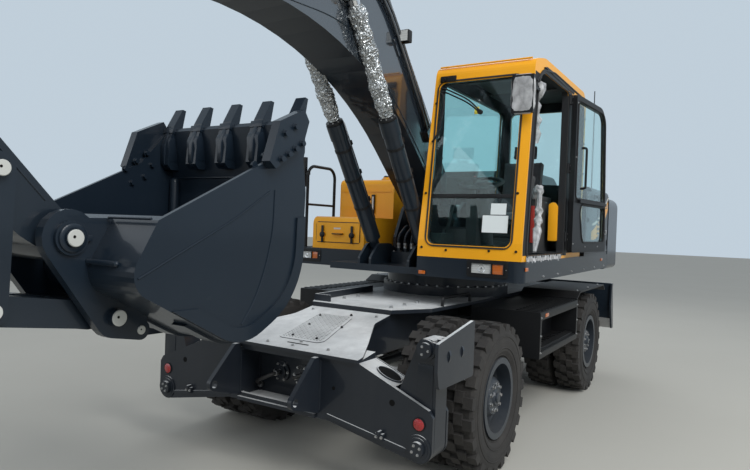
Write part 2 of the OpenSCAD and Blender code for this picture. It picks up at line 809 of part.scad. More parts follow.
// windows and door opening of the cab
module cab_cuts(g) {
  // windscreen
  along_x(900, 1400)
    rrect(cab_y0 + 85 + g, cab_y1 - 95 - g, deck_top + 105 + g, cab_top - 190 - g, 60);
  // rear window
  along_x(-700, -400)
    rrect(cab_y0 + 130 + g, cab_y1 - 110 - g, 2000 + g, 2940 - g, 50);
  // boom side window
  along_y(200, 500)
    rrect(-430 + g, 1030 - g, 1720 + g, 2940 - g, 60);
  // small window behind the door
  along_y(1100, 1300)
    rrect(-470 + g, -40 - g, 1900 + g, 2960 - g, 60);
}
module cab_shell() {
  color([0.87, 0.5, 0.07])
  at_origin()
    difference() {
      intersection() {
        along_y(0, 1500)
          cab_side2d();
        along_x(-800, 1500)
          cab_front2d(0);
      }
      intersection() {
        along_y(0, 1500)
          polygon([[cab_back + 55, deck_top + 50], [cab_x - 65, deck_top + 50], [cab_x - 65, 1600],
            [cab_x - cab_lean - 75, cab_top - 160], [cab_x - 470, cab_top - 70], [cab_back + 55, cab_top - 70]]);
        along_x(-700, 1500)
          cab_front2d(55);
      }
      cab_cuts(0);
      // sunk roof panel and hatch
      translate([-480, 440, cab_top - 12])
        cube([1230, 690, 100]);
      translate([100, 520, cab_top - 200])
        cube([560, 460, 400]);
      // door opening
      along_y(1100, 1300)
        door2d(0);
    }
}
module door2d(g) {
  polygon(rounded([[120 + g, 1510 + g, 30], [1180 - g, 1510 + g, 30], [1180 - g, 1600, 0],
    [cab_x - cab_lean - 110 - g, 2985 - g, 180], [120 + g, 2985 - g, 40]]));
}
module cab_glass() {
  color([0.45, 0.65, 0.66, 0.4])
  at_origin() {
    // windscreen, leaning with the front frame
    intersection() {
      along_x(900, 1400)
        rrect(cab_y0 + 85.2, cab_y1 - 95.2, deck_top + 105.2, cab_top - 190.2, 60);
      along_y(0, 1500)
        polygon([[cab_x - 30, deck_top], [cab_x - 22, deck_top], [cab_x - 22, 1600], [cab_x - cab_lean - 22, cab_top - 60],
          [cab_x - cab_lean - 30, cab_top - 60], [cab_x - 30, 1600]]);
    }
    along_x(-540, -532)
      rrect(cab_y0 + 130.2, cab_y1 - 110.2, 2000.2, 2939.8, 50);
    intersection() {
      along_y(200, 500)
        rrect(-429.8, 1029.8, 1720.2, 2939.8, 60);
      along_x(-700, 1500)
        polygon([[cab_y0 + 20, deck_top], [cab_y0 + 28, deck_top], [cab_y0 + 73, cab_top], [cab_y0 + 65, cab_top]]);
    }
    along_y(cab_y1 - 30, cab_y1 - 22)
      rrect(-469.8, -40.2, 1900.2, 2959.8, 60);
    translate([100.2, 520.2, cab_top - 40])
      cube([559.6, 459.6, 12]);
  }
}

module seat() {
  color([0.12, 0.12, 0.13])
  at_origin() {
    translate([-60, 560, cab_floor + fit])
      cube([420, 340, 260]);
    translate([-130, 508, deck_top + 310])
      cube([560, 434, 110]);
    translate([-60, 725, deck_top + 400])
      rotate([0, -10, 0])
        translate([-130, -215, 0])
          cube([130, 430, 560]);
    translate([-190, 725, deck_top + 935])
      rotate([0, -10, 0])
        translate([-80, -130, 0])
          cube([90, 260, 190]);
  }
}
module controls() {
  color([0.14, 0.14, 0.15])
  at_origin() {
    // arm consoles with their levers
    for (y = [450, 1000])
      translate([-120, y - 55, cab_floor + fit])
        cube([560, 105, 470]);
    for (y = [450, 1000])
      translate([390, y, deck_top + 520])
        cylinder(r1 = 16, r2 = 22, h = 170);
    // steering column and wheel
    translate([800, 760, cab_floor + 2.2])
      rotate([0, 18, 0])
        translate([0, 0, -20])
          difference() {
            cylinder(r = 55, h = 620);
            translate([-200, -200, -200])
              cube([400, 400, 236]);
          }
    translate([1000, 760, deck_top + 640])
      rotate([0, 18, 0])
        translate([0, 0, -20]) {
          rotate_extrude()
            translate([175, 0])
              circle(r = 15, $fn = 16);
          cylinder(r = 50, h = 20);
          for (a = [90, 210, 330])
            rotate([0, 0, a])
              translate([0, -16, -6])
                cube([170, 32, 12]);
        }
    // travel pedals
    for (y = [620, 900])
      translate([1040, y - 50, cab_floor + fit])
        cube([130, 100, 60]);
  }
}

// door drawn shut, then swung back about its rear hinge
module swung_door() {
  at_origin()
    translate([door_hinge[0], door_hinge[1], 0])
      rotate([0, 0, door_open])
        translate([-door_hinge[0], -door_hinge[1], 0])
          children();
}
module door_windows(g) {
  polygon(rounded([[185 + g, 2030 + g, 40], [1085 - g, 2030 + g, 40], [1000 - g, 2920 - g, 130], [185 + g, 2920 - g, 40]]));
  polygon(rounded([[420 + g, 1620 + g, 80], [1100 - g, 1620 + g, 60], [1095 - g, 1965 - g, 40], [300 + g, 1965 - g, 80]]));
}
module door_frame() {
  color([0.07, 0.07, 0.08])
  swung_door() {
    along_y(1178, 1222)
      difference() {
        door2d(8);
        door_windows(0);
      }
    // hinge knuckles
    for (z = [1620, 2250, 2880]) {
      translate([door_hinge[0], door_hinge[1], z])
        cylinder(r = 13.4, h = 90);
      translate([100, 1224, z])
        cube([60, 12, 90]);
      translate([136, 1200, z])
        cube([24, 36, 90]);
    }
    // handle bar across the middle
    translate([240, 1150, 1985])
      cube([820, 32, 30]);
  }
}
module door_glass() {
  color([0.45, 0.65, 0.66, 0.4])
  swung_door()
    along_y(1196, 1204)
      door_windows(0.2);
}

module fittings() {
  color([0.08, 0.08, 0.09])
  at_origin() {
    // handrail of bent tube on the right front corner, with its middle bar
    for (k = [[860, 0], [390, 90]])
      translate([k[0], -1180, deck_top + fit])
        cylinder(r = 16, h = 2186 - deck_top - fit);
    for (k = [[750, 0], [500, 90]])
      translate([k[0], -1180, 2186])
        rotate([90, 0, 0])
          rotate([0, 0, k[1]])
            rotate_extrude(angle = 90)
              translate([110, 0])
                circle(r = 16);
    translate([500, -1180, 2296])
      rotate([0, 90, 0])
        cylinder(r = 16, h = 250);
    translate([390, -1180, 1900])
      rotate([0, 90, 0])
        cylinder(r = 12, h = 470);
    // right mirror on its bracket
    translate([848, -door_reach + 100, 2200])
      cube([24, door_reach - 1260, 24]);
    translate([840, -door_reach, 2080])
      cube([40, 200, 300]);
    // left mirror in front of the cab's outer pillar
    translate([1060, cab_y1 + fit, 2800])
      cube([200, 24, 24]);
    translate([1240, 1090, 2600])
      cube([40, 170, 290]);
    // lifting eyes on the cab roof; columns x, y, how deep the roof lies there
    for (c = [[560, 420, 0], [560, 1100, 12], [-380, 420, 0], [-380, 1100, 12]])
      translate([c[0], 0, cab_top + fit - c[2]])
        along_y(c[1] - 7, c[1] + 7)
          difference() {
            polygon(rounded([[-32, 0, 0], [32, 0, 0], [24, 52, 20], [-24, 52, 20]]));
            translate([0, 26])
              circle(r = 11);
          }
    // aerial
    translate([-2450, 900, 2150 + fit])
      cylinder(r = 6, h = 1409);
  }
}

module lamps() {
  color([0.9, 0.9, 0.85])
  at_origin() {
    translate([cab_x - 39.8, 815, deck_low + 55])
      cube([34, 165, 80]);
    translate([cab_x - 39.8, 990, deck_low + 55])
      cube([34, 95, 80]);
    translate([930 - 39.8, -1170, deck_low + 55])
      cube([34, 120, 70]);
    translate([930 - 39.8, -1040, deck_low + 55])
      cube([34, 80, 70]);
  }
}

// boom outline: foot, lower line and bend, nose, top line and bend; columns x, z, corner radius
boom_ring = [[80, 1690, 90], [330, 1690, 60], [2067, 3146, 2900], [5640, 2860, 60], [5850, 2860, 120],
  [5850, 3100, 120], [5650, 3132, 60], [1926, 3813, 1130], [250, 1912, 100], [90, 1860, 60]];
boom_bend = 7;
module boom2d() {
  polygon(rounded(boom_ring, 12));
}
// run of a pipe that keeps t inside the boom's top line, from the arm end round the bend to the foot
function pipe_run(t, x_end) =
  let (k = inset(boom_ring, t), n = 8, m = boom_bend)
  let (bend = corner([k[m - 1][0], k[m - 1][1]], [k[m][0], k[m][1]], [k[m + 1][0], k[m + 1][1]], k[m][2], n))
  let (d = unit([k[m - 1][0], k[m - 1][1]] - bend[0]), e = unit([k[m + 1][0], k[m + 1][1]] - bend[n]))
  concat([bend[0] + d * (x_end - bend[0][0]) / d[0]], bend, [bend[n] + e * 1010]);
// line of a hose through points with a corner radius as third number
function bent(p, n) = [for (i = [0 : len(p) - 1])
  each (i == 0 || i == len(p) - 1 ? [[p[i][0], p[i][1]]] :
    corner([p[i - 1][0], p[i - 1][1]], [p[i][0], p[i][1]], [p[i + 1][0], p[i + 1][1]], p[i][2], n))];
module pipe(points, y, r) {
  for (i = [0 : len(points) - 2])
    strut(points[i], points[i + 1], y, r, 0, norm(points[i + 1] - points[i]));
  for (q = points)
    translate([q[0], y, q[1]])
      sphere(r = r + 0.05, $fn = 24);
}
module boom() {
  color([0.15, 0.18, 0.21])
  at_origin() {
    difference() {
      union() {
        along_y(-boom_w / 2, boom_w / 2)
          boom2d();
        pin_y(boom_foot, 150, -284, 284);
        pin_y(cyl_head, 105, -boom_w / 2 - 5, boom_w / 2 + 5);
        pin_y(arm_pivot, 135, -boom_w / 2 - 20, boom_w / 2 + 20);
        // bracket of the arm cylinder
        for (s = [-1, 1])
          along_y(s * 85 - 20, s * 85 + 20)
            link2d(arm_cyl_foot, 75, [2700, 3600], 160);
      }
      // fork at the nose for the arm
      along_y(-arm_w / 2 - 6, arm_w / 2 + 6)
        polygon([[5265, 2700], [6000, 2700], [6000, 3400], [4950, 3400], [5120, 3180], [5265, 3000]]);
      pin_y(boom_foot, 56, -400, 400);
    }
    pin_y(arm_pivot, 50, -boom_w / 2 - 30, boom_w / 2 + 30);
    pin_y(arm_cyl_foot, 35, -115, 115);
    // pipes to the arm on both sides, their clamps and the blocks at both ends; columns inset, front end
    both() {
      for (k = [[70, 4600], [112, 4520]])
        pipe(pipe_run(k[0], k[1]), boom_w / 2 + 26, 13);
      for (q = [[4300, 91], [3300, 91]])
        let (m = pipe_run(q[1], q[0])[0])
        translate([m[0], boom_w / 2, m[1]])
          rotate([0, 10.4, 0])
            translate([-35, -1, -52])
              cube([70, 46, 104]);
      let (r = pipe_run(91, 4600), m = r[5])
        translate([m[0], boom_w / 2, m[1]])
          rotate([0, -20, 0])
            translate([-35, -1, -52])
              cube([70, 46, 104]);
      let (r = pipe_run(91, 4600), m = r[10])
        translate([m[0], boom_w / 2, m[1]])
          rotate([0, -48.6, 0])
            translate([-20, -1, -62])
              cube([110, 40, 124]);
      // work lamp bracket plate
      translate([1500, boom_w / 2 - 1, 3080])
        rotate([0, -48, 0])
          cube([150, 14, 80]);
    }
  }
}

// boom cylinders; a point at a along the cylinder and b behind its axis
function beside_cyl(a, b) = let (d = unit(cyl_head - cyl_foot)) cyl_foot + a * d + b * [-d[1], d[0]];
module boom_barrels() {
  color([0.11, 0.13, 0.15])
  at_origin()
    both() {
      difference() {
        union() {
          strut(cyl_foot, cyl_head, boom_cyl_y, 44, 60, 175);
          strut(cyl_foot, cyl_head, boom_cyl_y, 70, 170, boom_gland - 120);
          strut(cyl_foot, cyl_head, boom_cyl_y, 76, boom_gland - 130, boom_gland);
          pin_y(cyl_foot, 74, boom_cyl_y - 40, boom_cyl_y + 40);
        }
        strut(cyl_foot, cyl_head, boom_cyl_y, 41, 400, 1500);
      }
      pin_y(cyl_foot, 40, boom_cyl_y - 71, boom_cyl_y + 71);
      // oil pipe along the back of the barrel and its three posts
      pipe(bent([for (q = [[boom_gland - 30, 66, 0], [boom_gland - 30, 114, 26], [300, 114, 26], [300, 60, 0]])
        let (m = beside_cyl(q[0], q[1]))
        [m[0], m[1], q[2]]], 4), boom_cyl_y, 12);
      for (a = [520, 800, 1080])
        strut(beside_cyl(a, 0), beside_cyl(a, 114), boom_cyl_y, 9, 60, 122);
    }
}
module boom_rods() {
  color([0.78, 0.79, 0.8])
  at_origin()
    both() {
      strut(cyl_foot, cyl_head, boom_cyl_y, 40, 900, norm(cyl_head - cyl_foot) - 60);
      pin_y(cyl_head, 76, boom_cyl_y - 38, boom_cyl_y + 38);
      pin_y(cyl_head, 45, boom_cyl_y, boom_cyl_y + 62);
    }
}

// arm outline in its own axes: a along the arm from the pivot, b towards its outer side
module arm_plate(y0, y1) {
  along_y(y0, y1)
    polygon([for (p = rounded([[-860, -20, 60], [-840, 110, 60], [-420, 190, 60], [-60, 260, 100], [350, 205, 300],
      [950, 138, 300], [1880, 110, 60], [2090, 70, 70], [2110, -90, 90], [1880, -96, 60], [1500, -120, 200],
      [300, -240, 200], [-250, -190, 200]])) on_arm(p[0], p[1])]);
}
module arm() {
  color([0.15, 0.18, 0.21])
  at_origin() {
    difference() {
      union() {
        arm_plate(-arm_w / 2, arm_w / 2);
        pin_y(bucket_pin, 105, -168, 168);
        pin_y(arm_cyl_head, tail_boss_r, -arm_w / 2 - 12, arm_w / 2 + 12);
        // lugs of the bucket cylinder
        for (s = [-1, 1])
          along_y(s * 90 - 18, s * 90 + 18)
            link2d(bucket_cyl_foot, 62, on_arm(-150, 150), 140);
      }
      // slot for the arm cylinder's rod eye
      along_y(-58, 58)
        polygon([on_arm(-1000, -400), on_arm(-440, -400), on_arm(-440, 400), on_arm(-1000, 400)]);
      pin_y(arm_pivot, 51, -400, 400);
      pin_y(bucket_pin, 41, -400, 400);
      pin_y(rocker_pin, 36, -400, 400);
    }
    both()
      pin_y(arm_cyl_head, 35, arm_w / 2, arm_w / 2 + 20);
    pin_y(bucket_cyl_foot, 32, -120, 120);
  }
}
module arm_barrel() {
  color([0.11, 0.13, 0.15])
  at_origin()
    difference() {
      union() {
        strut(arm_cyl_foot, arm_cyl_head, 0, 57, 60, 140);
        strut(arm_cyl_foot, arm_cyl_head, 0, 82, 132, 1960);
        strut(arm_cyl_foot, arm_cyl_head, 0, 95, 1950, 2080);
        pin_y(arm_cyl_foot, 68, -58, 58);
      }
      pin_y(arm_cyl_foot, 36, -100, 100);
      strut(arm_cyl_foot, arm_cyl_head, 0, 48, 110, 2100);
    }
}
module arm_rod() {
  color([0.78, 0.79, 0.8])
  at_origin() {
    strut(arm_cyl_foot, arm_cyl_head, 0, 47, 1400, norm(arm_cyl_head - arm_cyl_foot) - 50);
    pin_y(arm_cyl_head, 70, -50, 50);
  }
}
module bucket_barrel() {
  color([0.11, 0.13, 0.15])
  at_origin()
    difference() {
      union() {
        strut(bucket_cyl_foot, joint_pin, 0, 66, 50, 1080);
        strut(bucket_cyl_foot, joint_pin, 0, 76, 1070, 1170);
        pin_y(bucket_cyl_foot, 58, -66, 66);
      }
      pin_y(bucket_cyl_foot, 33, -100, 100);
      strut(bucket_cyl_foot, joint_pin, 0, 39, 120, 1300);
    }
}
module bucket_rod() {
  color([0.78, 0.79, 0.8])
  at_origin() {
    strut(bucket_cyl_foot, joint_pin, 0, 38, 1080, norm(joint_pin - bucket_cyl_foot) - 40);
    pin_y(joint_pin, 60, -50, 50);
  }
}
module guide_links() {
  color([0.14, 0.17, 0.2])
  at_origin() {
    both() {
      along_y(174, 208)
        link2d(rocker_pin, 66, joint_pin, 66);
      pin_y(joint_pin, 35, 207, 232);
    }
    pin_y(rocker_pin, 35, -232, 232);
  }
}
module bucket_link() {
  color([0.14, 0.17, 0.2])
  at_origin()
    difference() {
      along_y(-165, 165)
        link2d(joint_pin, 62, link_pin, 62);
      // long fork, open for the rod eye at the upper pin
      along_y(-58, 58)
        link2d(joint_pin + 200 * unit(joint_pin - link_pin), 80, joint_pin - 290 * unit(joint_pin - link_pin), 80);
      pin_y(link_pin, 41, -300, 300);
    }
}

// bucket wrap from the lip round the floor to the back; columns x, z, corner radius
bucket_wrap = [[3150, 2275, 0], [3080, 1880, 300], [3100, 1290, 450], [3560, 1060, 300], [4230, 1415, 110], [4075, 1690, 0]];
// between the ears the wrap's last corner has a larger radius, so that it passes the arm's tip
bucket_back_r = 210;
mouth_knee = [3362, 2036, 0];
ear_y = 182;
// cross section of the wrap with radius r at its last corner, closed by the mouth's line
module bucket_wrap2d(r) {
  last = len(bucket_wrap) - 1;
  ring = [for (i = [0 : last]) i == last - 1 ? [bucket_wrap[i][0], bucket_wrap[i][1], r] : bucket_wrap[i]];
  long = [for (i = [0 : last]) i == 0 ? [3164, 2354, 0] : (i == last ? [4030, 1770, 0] : ring[i])];
  difference() {
    polygon(rounded(concat(ring, [mouth_knee]), 8));
    polygon(rounded(inset(long, plate_t), 8));
  }
}
module bucket() {
  bw = bucket_w / 2;
  color([0.17, 0.2, 0.23])
  at_origin() {
    // floor and back, outside the ears and between them
    both()
      along_y(ear_y + 3, bw)
        bucket_wrap2d(bucket_wrap[4][2]);
    along_y(-ear_y - 4, ear_y + 4)
      bucket_wrap2d(bucket_back_r);
    // side plates
    both()
      along_y(bw - plate_t, bw)
        polygon(rounded(concat(bucket_wrap, [mouth_knee]), 8));
    // wear strips below the floor and along the sides' heel
    for (y = [-435, -145, 145, 435])
      along_y(y - 45, y + 45)
        difference() {
          polygon(rounded(inset([for (q = bucket_wrap) q], -14), 8));
          polygon(rounded(inset([for (q = bucket_wrap) q], 4), 8));
          polygon([[2900, 1900], [3000, 2600], [4500, 2600], [4500, 1200], [3900, 1180], [3400, 1500]]);
        }
    both()
      along_y(bw - 1, bw + 12)
        difference() {
          polygon(rounded(inset(concat(bucket_wrap, [mouth_knee]), 3), 8));
          polygon(rounded(inset(concat(bucket_wrap, [mouth_knee]), 73), 8));
          polygon([[2900, 1760], [2900, 2600], [4500, 2600], [4500, 1300], [3760, 1290], [3400, 1700]]);
        }
    // side cutters, bolted outside
    both()
      along_y(bw - 1, bw + 55)
        polygon([[3376, 2226], [3183, 2318], [3137, 2259], [3190, 2105], [3400, 1975], [3450, 2010]]);
    // teeth in their adapters
    for (i = [-2 : 2]) {
      along_y(i * tooth_pitch - 34, i * tooth_pitch + 34)
        polygon([[3072, 2402], [3098, 2406], [3165, 2290], [3176, 2230], [3110, 2215]]);
      along_y(i * tooth_pitch - 42, i * tooth_pitch + 42)
        polygon([[3100, 2235], [3180, 2255], [3205, 2180], [3215, 2040], [3185, 2010], [3120, 2010], [3095, 2100]]);
    }
    // ears for the arm tip and the link
    both() {
      along_y(ear_y, ear_y + 50)
        difference() {
          union() {
            link2d(bucket_pin, 122, link_pin, 95);
            link2d(link_pin, 95, [3905, 1165], 48);
            polygon([[4274, 1603], [4190, 1690], [4077, 1692], [4100, 1400], [3860, 1235], [3905, 1165], [4047, 1240]]);
          }
          translate([3905, 1165])
            circle(r = 22);
        }
      pin_y(bucket_pin, 74, 225, 250);
      pin_y(bucket_pin, 40, 160, 272);
    }
    pin_y(bucket_pin, 40, -272, 272);
    pin_y(link_pin, 40, -262, 262);
  }
}

chassis_frame();
outrigger_beam();
step_boxes();
axles();
knuckle_l();
knuckle_r();
tyre_fl();
tyre_fr();
tyre_rl();
tyre_rr();
rim_fl();
rim_fr();
rim_rl();
rim_rr();
leg_l();
leg_r();
pad_l();
pad_r();
blade();
blade_barrels();
blade_rods();
revolving_frame();
counterweight();
side_panels();
right_tank();
engine_hood();
cab_shell();
cab_glass();
seat();
controls();
door_frame();
door_glass();
fittings();
lamps();
boom();
boom_barrels();
boom_rods();
arm();
arm_barrel();
arm_rod();
bucket_barrel();
bucket_rod();
guide_links();
bucket_link();
bucket();
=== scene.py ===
"""Looks of the wheeled excavator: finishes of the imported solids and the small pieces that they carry.

All lengths are metres. Places are given in the machine's own frame, whose origin is the swing centre on the
ground, and at() moves them to the row frame, whose origin lies under the middle of the whole box.
"""

import json
import logging
import math
import random
from collections.abc import Callable
from dataclasses import dataclass, field
from enum import Enum

import bmesh
import bpy
from mathutils import Matrix, Vector

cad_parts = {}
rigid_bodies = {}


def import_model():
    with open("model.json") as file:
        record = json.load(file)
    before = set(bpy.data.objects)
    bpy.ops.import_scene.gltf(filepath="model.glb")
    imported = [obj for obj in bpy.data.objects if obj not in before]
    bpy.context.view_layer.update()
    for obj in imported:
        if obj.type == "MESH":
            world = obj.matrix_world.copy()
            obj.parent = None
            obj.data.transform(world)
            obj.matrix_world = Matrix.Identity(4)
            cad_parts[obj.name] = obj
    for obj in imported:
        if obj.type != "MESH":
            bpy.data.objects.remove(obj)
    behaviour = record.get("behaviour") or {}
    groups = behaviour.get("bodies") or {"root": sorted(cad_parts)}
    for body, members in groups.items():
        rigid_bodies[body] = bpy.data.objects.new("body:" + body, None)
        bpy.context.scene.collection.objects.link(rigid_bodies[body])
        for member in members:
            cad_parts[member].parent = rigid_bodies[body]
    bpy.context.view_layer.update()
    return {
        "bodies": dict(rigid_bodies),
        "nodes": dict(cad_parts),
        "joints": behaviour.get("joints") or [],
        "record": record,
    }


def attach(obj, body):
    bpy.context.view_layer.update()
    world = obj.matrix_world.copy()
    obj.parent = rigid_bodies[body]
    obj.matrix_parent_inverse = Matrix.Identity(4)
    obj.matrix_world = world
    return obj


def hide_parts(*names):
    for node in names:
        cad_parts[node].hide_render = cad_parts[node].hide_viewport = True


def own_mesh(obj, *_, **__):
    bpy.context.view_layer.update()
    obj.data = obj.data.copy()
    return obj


log = logging.getLogger("excavator")

ORIGIN_X = 1.834124
PHOTO_SIZE = (750, 470)


def at(x: float, y: float, z: float) -> Vector:
    """A place in the machine's frame, as a place in the row frame."""
    return Vector((x - ORIGIN_X, y, z))


# ---------------------------------------------------------------- shader maths


class Sock:
    """One output of a shader node, with the arithmetic operators adding Math nodes."""

    def __init__(self, tree: "Graph", socket: bpy.types.NodeSocket) -> None:
        """Keep the graph and the socket."""
        self.tree = tree
        self.socket = socket

    def _math(self, operation: str, *values: object) -> "Sock":
        """A Math node of that operation on these values."""
        return self.tree.node("ShaderNodeMath", {"operation": operation}, *values)

    def __add__(self, other: object) -> "Sock":
        """self + other."""
        return self._math("ADD", self, other)

    def __sub__(self, other: object) -> "Sock":
        """self - other."""
        return self._math("SUBTRACT", self, other)

    def __mul__(self, other: object) -> "Sock":
        """self * other."""
        return self._math("MULTIPLY", self, other)

    def __truediv__(self, other: object) -> "Sock":
        """self / other."""
        return self._math("DIVIDE", self, other)

    def __rsub__(self, other: object) -> "Sock":
        """other - self."""
        return self._math("SUBTRACT", other, self)

    __radd__ = __add__
    __rmul__ = __mul__

    def clamp(self) -> "Sock":
        """self held between 0 and 1."""
        return self._math("MINIMUM", self._math("MAXIMUM", self, 0.0), 1.0)

    def sine(self) -> "Sock":
        """Sine of self in radians."""
        return self._math("SINE", self)

    def above(self, edge: float, soft: float = 0.0) -> "Sock":
        """1 where self passes the edge, with a soft step of that width."""
        if soft <= 0.0:
            return self._math("GREATER_THAN", self, edge)
        return ((self - edge) / soft + 0.5).clamp()


class Graph:
    """The node tree of one material."""

    def __init__(self, name: str) -> None:
        """A new material of that name with an empty tree."""
        self.material = bpy.data.materials.new(name)
        self.material.use_nodes = True
        self.nodes = self.material.node_tree.nodes
        self.links = self.material.node_tree.links
        self.nodes.clear()

    def _fill(self, socket: bpy.types.NodeSocket, value: object) -> None:
        """Link or set one input.

        Args:
            socket: the input.
            value: a Sock, a number or a tuple.
        """
        if isinstance(value, Sock):
            self.links.new(value.socket, socket)
        else:
            if isinstance(value, tuple) and len(value) == 3 and socket.type == "RGBA":
                value = (*value, 1.0)
            socket.default_value = value

    def node(self, kind: str, settings: dict[str, object], *values: object,
             out: int | str = 0, **named: object) -> Sock:
        """Add a node.

        Args:
            kind: the node's type name.
            settings: its properties, set first.
            values: inputs in order.
            out: the output wanted.
            named: inputs by name, with _ for a space.

        Returns:
            The output wanted.
        """
        made = self.nodes.new(kind)
        for key, value in settings.items():
            setattr(made, key, value)
        for socket, value in zip([s for s in made.inputs if s.enabled], values):
            self._fill(socket, value)
        for key, value in named.items():
            self._fill(made.inputs[key.replace("_", " ")], value)
        return Sock(self, made.outputs[out])

    def place(self) -> Sock:
        """Object coordinates."""
        return self.node("ShaderNodeTexCoord", {}, out="Object")

    def scaled(self, x: float, y: float, z: float) -> Sock:
        """Object coordinates stretched by these factors."""
        return self.node("ShaderNodeMapping", {}, self.place(), Scale=(x, y, z))

    def axes(self) -> tuple[Sock, Sock, Sock]:
        """Object coordinates as three numbers."""
        split = self.nodes.new("ShaderNodeSeparateXYZ")
        self._fill(split.inputs[0], self.place())
        return Sock(self, split.outputs[0]), Sock(self, split.outputs[1]), Sock(self, split.outputs[2])

    def facing_up(self) -> Sock:
        """Height of the surface normal, 1 on top faces and -1 underneath."""
        split = self.nodes.new("ShaderNodeSeparateXYZ")
        self._fill(split.inputs[0], self.node("ShaderNodeTexCoord", {}, out="Normal"))
        return Sock(self, split.outputs[2])

    def noise(self, scale: float, detail: float = 4.0, rough: float = 0.55, where: Sock | None = None) -> Sock:
        """Noise value at that scale per metre."""
        return self.node("ShaderNodeTexNoise", {}, Vector=where or self.place(), Scale=scale,
                         Detail=detail, Roughness=rough)

    def mix(self, factor: object, first: object, second: object) -> Sock:
        """Colour mix of first and second."""
        made = self.nodes.new("ShaderNodeMix")
        made.data_type = "RGBA"
        self._fill(made.inputs[0], factor)
        self._fill(made.inputs[6], first)
        self._fill(made.inputs[7], second)
        return Sock(self, made.outputs[2])

    def bump(self, height: Sock, strength: float, distance: float) -> Sock:
        """Normal bent by a height."""
        return self.node("ShaderNodeBump", {}, Strength=strength, Distance=distance, Height=height)

    def surface(self, **sockets: object) -> bpy.types.Material:
        """Close the tree with a Principled shader.

        Args:
            sockets: its inputs by name, with _ for a space.

        Returns:
            The finished material.
        """
        shader = self.node("ShaderNodeBsdfPrincipled", {}, **sockets)
        output = self.nodes.new("ShaderNodeOutputMaterial")
        self.links.new(shader.socket, output.inputs["Surface"])
        return self.material


Colour = tuple[float, float, float]
DUST: Colour = (0.15, 0.14, 0.125)
# Pale blue-grey of flat tops: settled dust with a painted reflection of the sky.
PALE_DUST_AND_SKY_SHEEN: Colour = (0.72, 0.74, 0.74)


@dataclass(frozen=True)
class Paint:
    """Sprayed enamel with orange peel, faint mottling, dust on top faces and scuffs, and a pale layer on flat tops that
    is partly settled dust and partly a painted sky reflection.
    """

    name: str
    colour: Colour
    rough: float = 0.38
    coat: float = 0.25
    dust: float = 0.25
    scuff: float = 0.1
    low: float = 0.0
    low_top: float = 1.4
    lining: Colour | None = None
    # Strength of the pale top layer, part settled dust and part painted sky reflection.
    settled: float = 0.0
    gloss: float = 1.5
    level: float = 0.25
    flanks: bool = False

    def material(self) -> bpy.types.Material:
        """Build the paint; dust grows on top faces and towards the ground where low is above 0."""
        g = Graph(self.name)
        broad = g.noise(1.7, 5.0, 0.6)
        fine = g.noise(38.0, 5.0, 0.65)
        streak = g.noise(1.0, 4.0, 0.6, g.scaled(9.0, 9.0, 0.9))
        up = g.facing_up().above(0.75, 0.5)
        height = g.axes()[2]
        film = (broad * 0.8 + streak * 0.5 + fine * 0.25 - 0.42).clamp()
        ground = (1.0 - height / self.low_top).clamp() * self.low
        dusty = (film * (up * self.dust * 1.6 + self.dust * 0.45 + ground) * 1.6).clamp()
        scratch = g.noise(7.0, 8.0, 0.75, g.scaled(1.0, 1.0, 3.0)).above(0.66, 0.05) * self.scuff
        pale = tuple(min(1.0, c * 1.15 + 0.002) for c in self.colour)
        deep = tuple(c * 0.85 for c in self.colour)
        worn = tuple(min(1.0, c * 0.7 + 0.1) for c in self.colour)
        tone = g.mix(broad, deep, pale)
        tone = g.mix(scratch, tone, worn)
        tone = g.mix(dusty, tone, DUST)
        # Flat tops turn pale blue-grey: partly settled dust, partly a painted reflection of the sky.
        if self.settled > 0.0:
            flat = g.facing_up().above(0.86, 0.2) * (film * 0.5 + broad * 0.9 + 0.25).clamp() * self.settled
            grit = g.noise(220.0, 3.0, 0.7)
            tone = g.mix((flat * (0.8 + grit * 0.4)).clamp(), tone, PALE_DUST_AND_SKY_SHEEN)
            dusty = (dusty + flat * 0.7).clamp()
        rough = (self.rough + fine * 0.08 + dusty * 0.5 + scratch * 0.2).clamp()
        if self.lining:
            inner = cab_inner(g)
            tone = g.mix(inner, tone, self.lining)
            rough = (rough + inner * 0.3).clamp()
            dusty = (dusty + inner).clamp()
        peel = g.noise(150.0, 2.0, 0.5) * 0.6 + fine * 0.4
        coat = (self.coat * (1.0 - dusty)).clamp()
        if self.flanks:
            tilt = g.facing_up()
            coat = coat * (1.0 - tilt * tilt * 0.95).clamp()
        return g.surface(Base_Color=tone, Roughness=rough, Coat_Weight=coat, Coat_Roughness=0.09, Coat_IOR=self.gloss,
                         Specular_IOR_Level=self.level, Normal=g.bump(peel, 0.1, 0.002))


def cab_inner(g: Graph) -> Sock:
    """1 on the inner faces of the cab shell and 0 on its outer skin."""
    x, y, z = g.axes()
    x = x + ORIGIN_X
    lean = (z - 1.6).above(0.0) * (z - 1.6) * 0.1138
    across = (y - 0.334 - (z - 1.465) * 0.0274).above(0.0) * (1.2195 - y).above(0.0)
    crown = (x - 0.819).above(0.0) * (x - 0.819) * 0.391
    inner = (across * (x + 0.545).above(0.0) * (1.2845 - lean - x).above(0.0) * (3.055 - crown - z).above(0.0)
             * (z - 1.48).above(0.0))
    posts = (x + 0.5).above(0.0) * (0.14 - x).above(0.0) + (x - 1.0).above(0.0) * (1.276 - lean - x).above(0.0)
    jamb = (y - 1.2195).above(0.0) * posts * (2.955 - z).above(0.0) * (z - 1.51).above(0.0)
    return (inner + jamb).clamp()


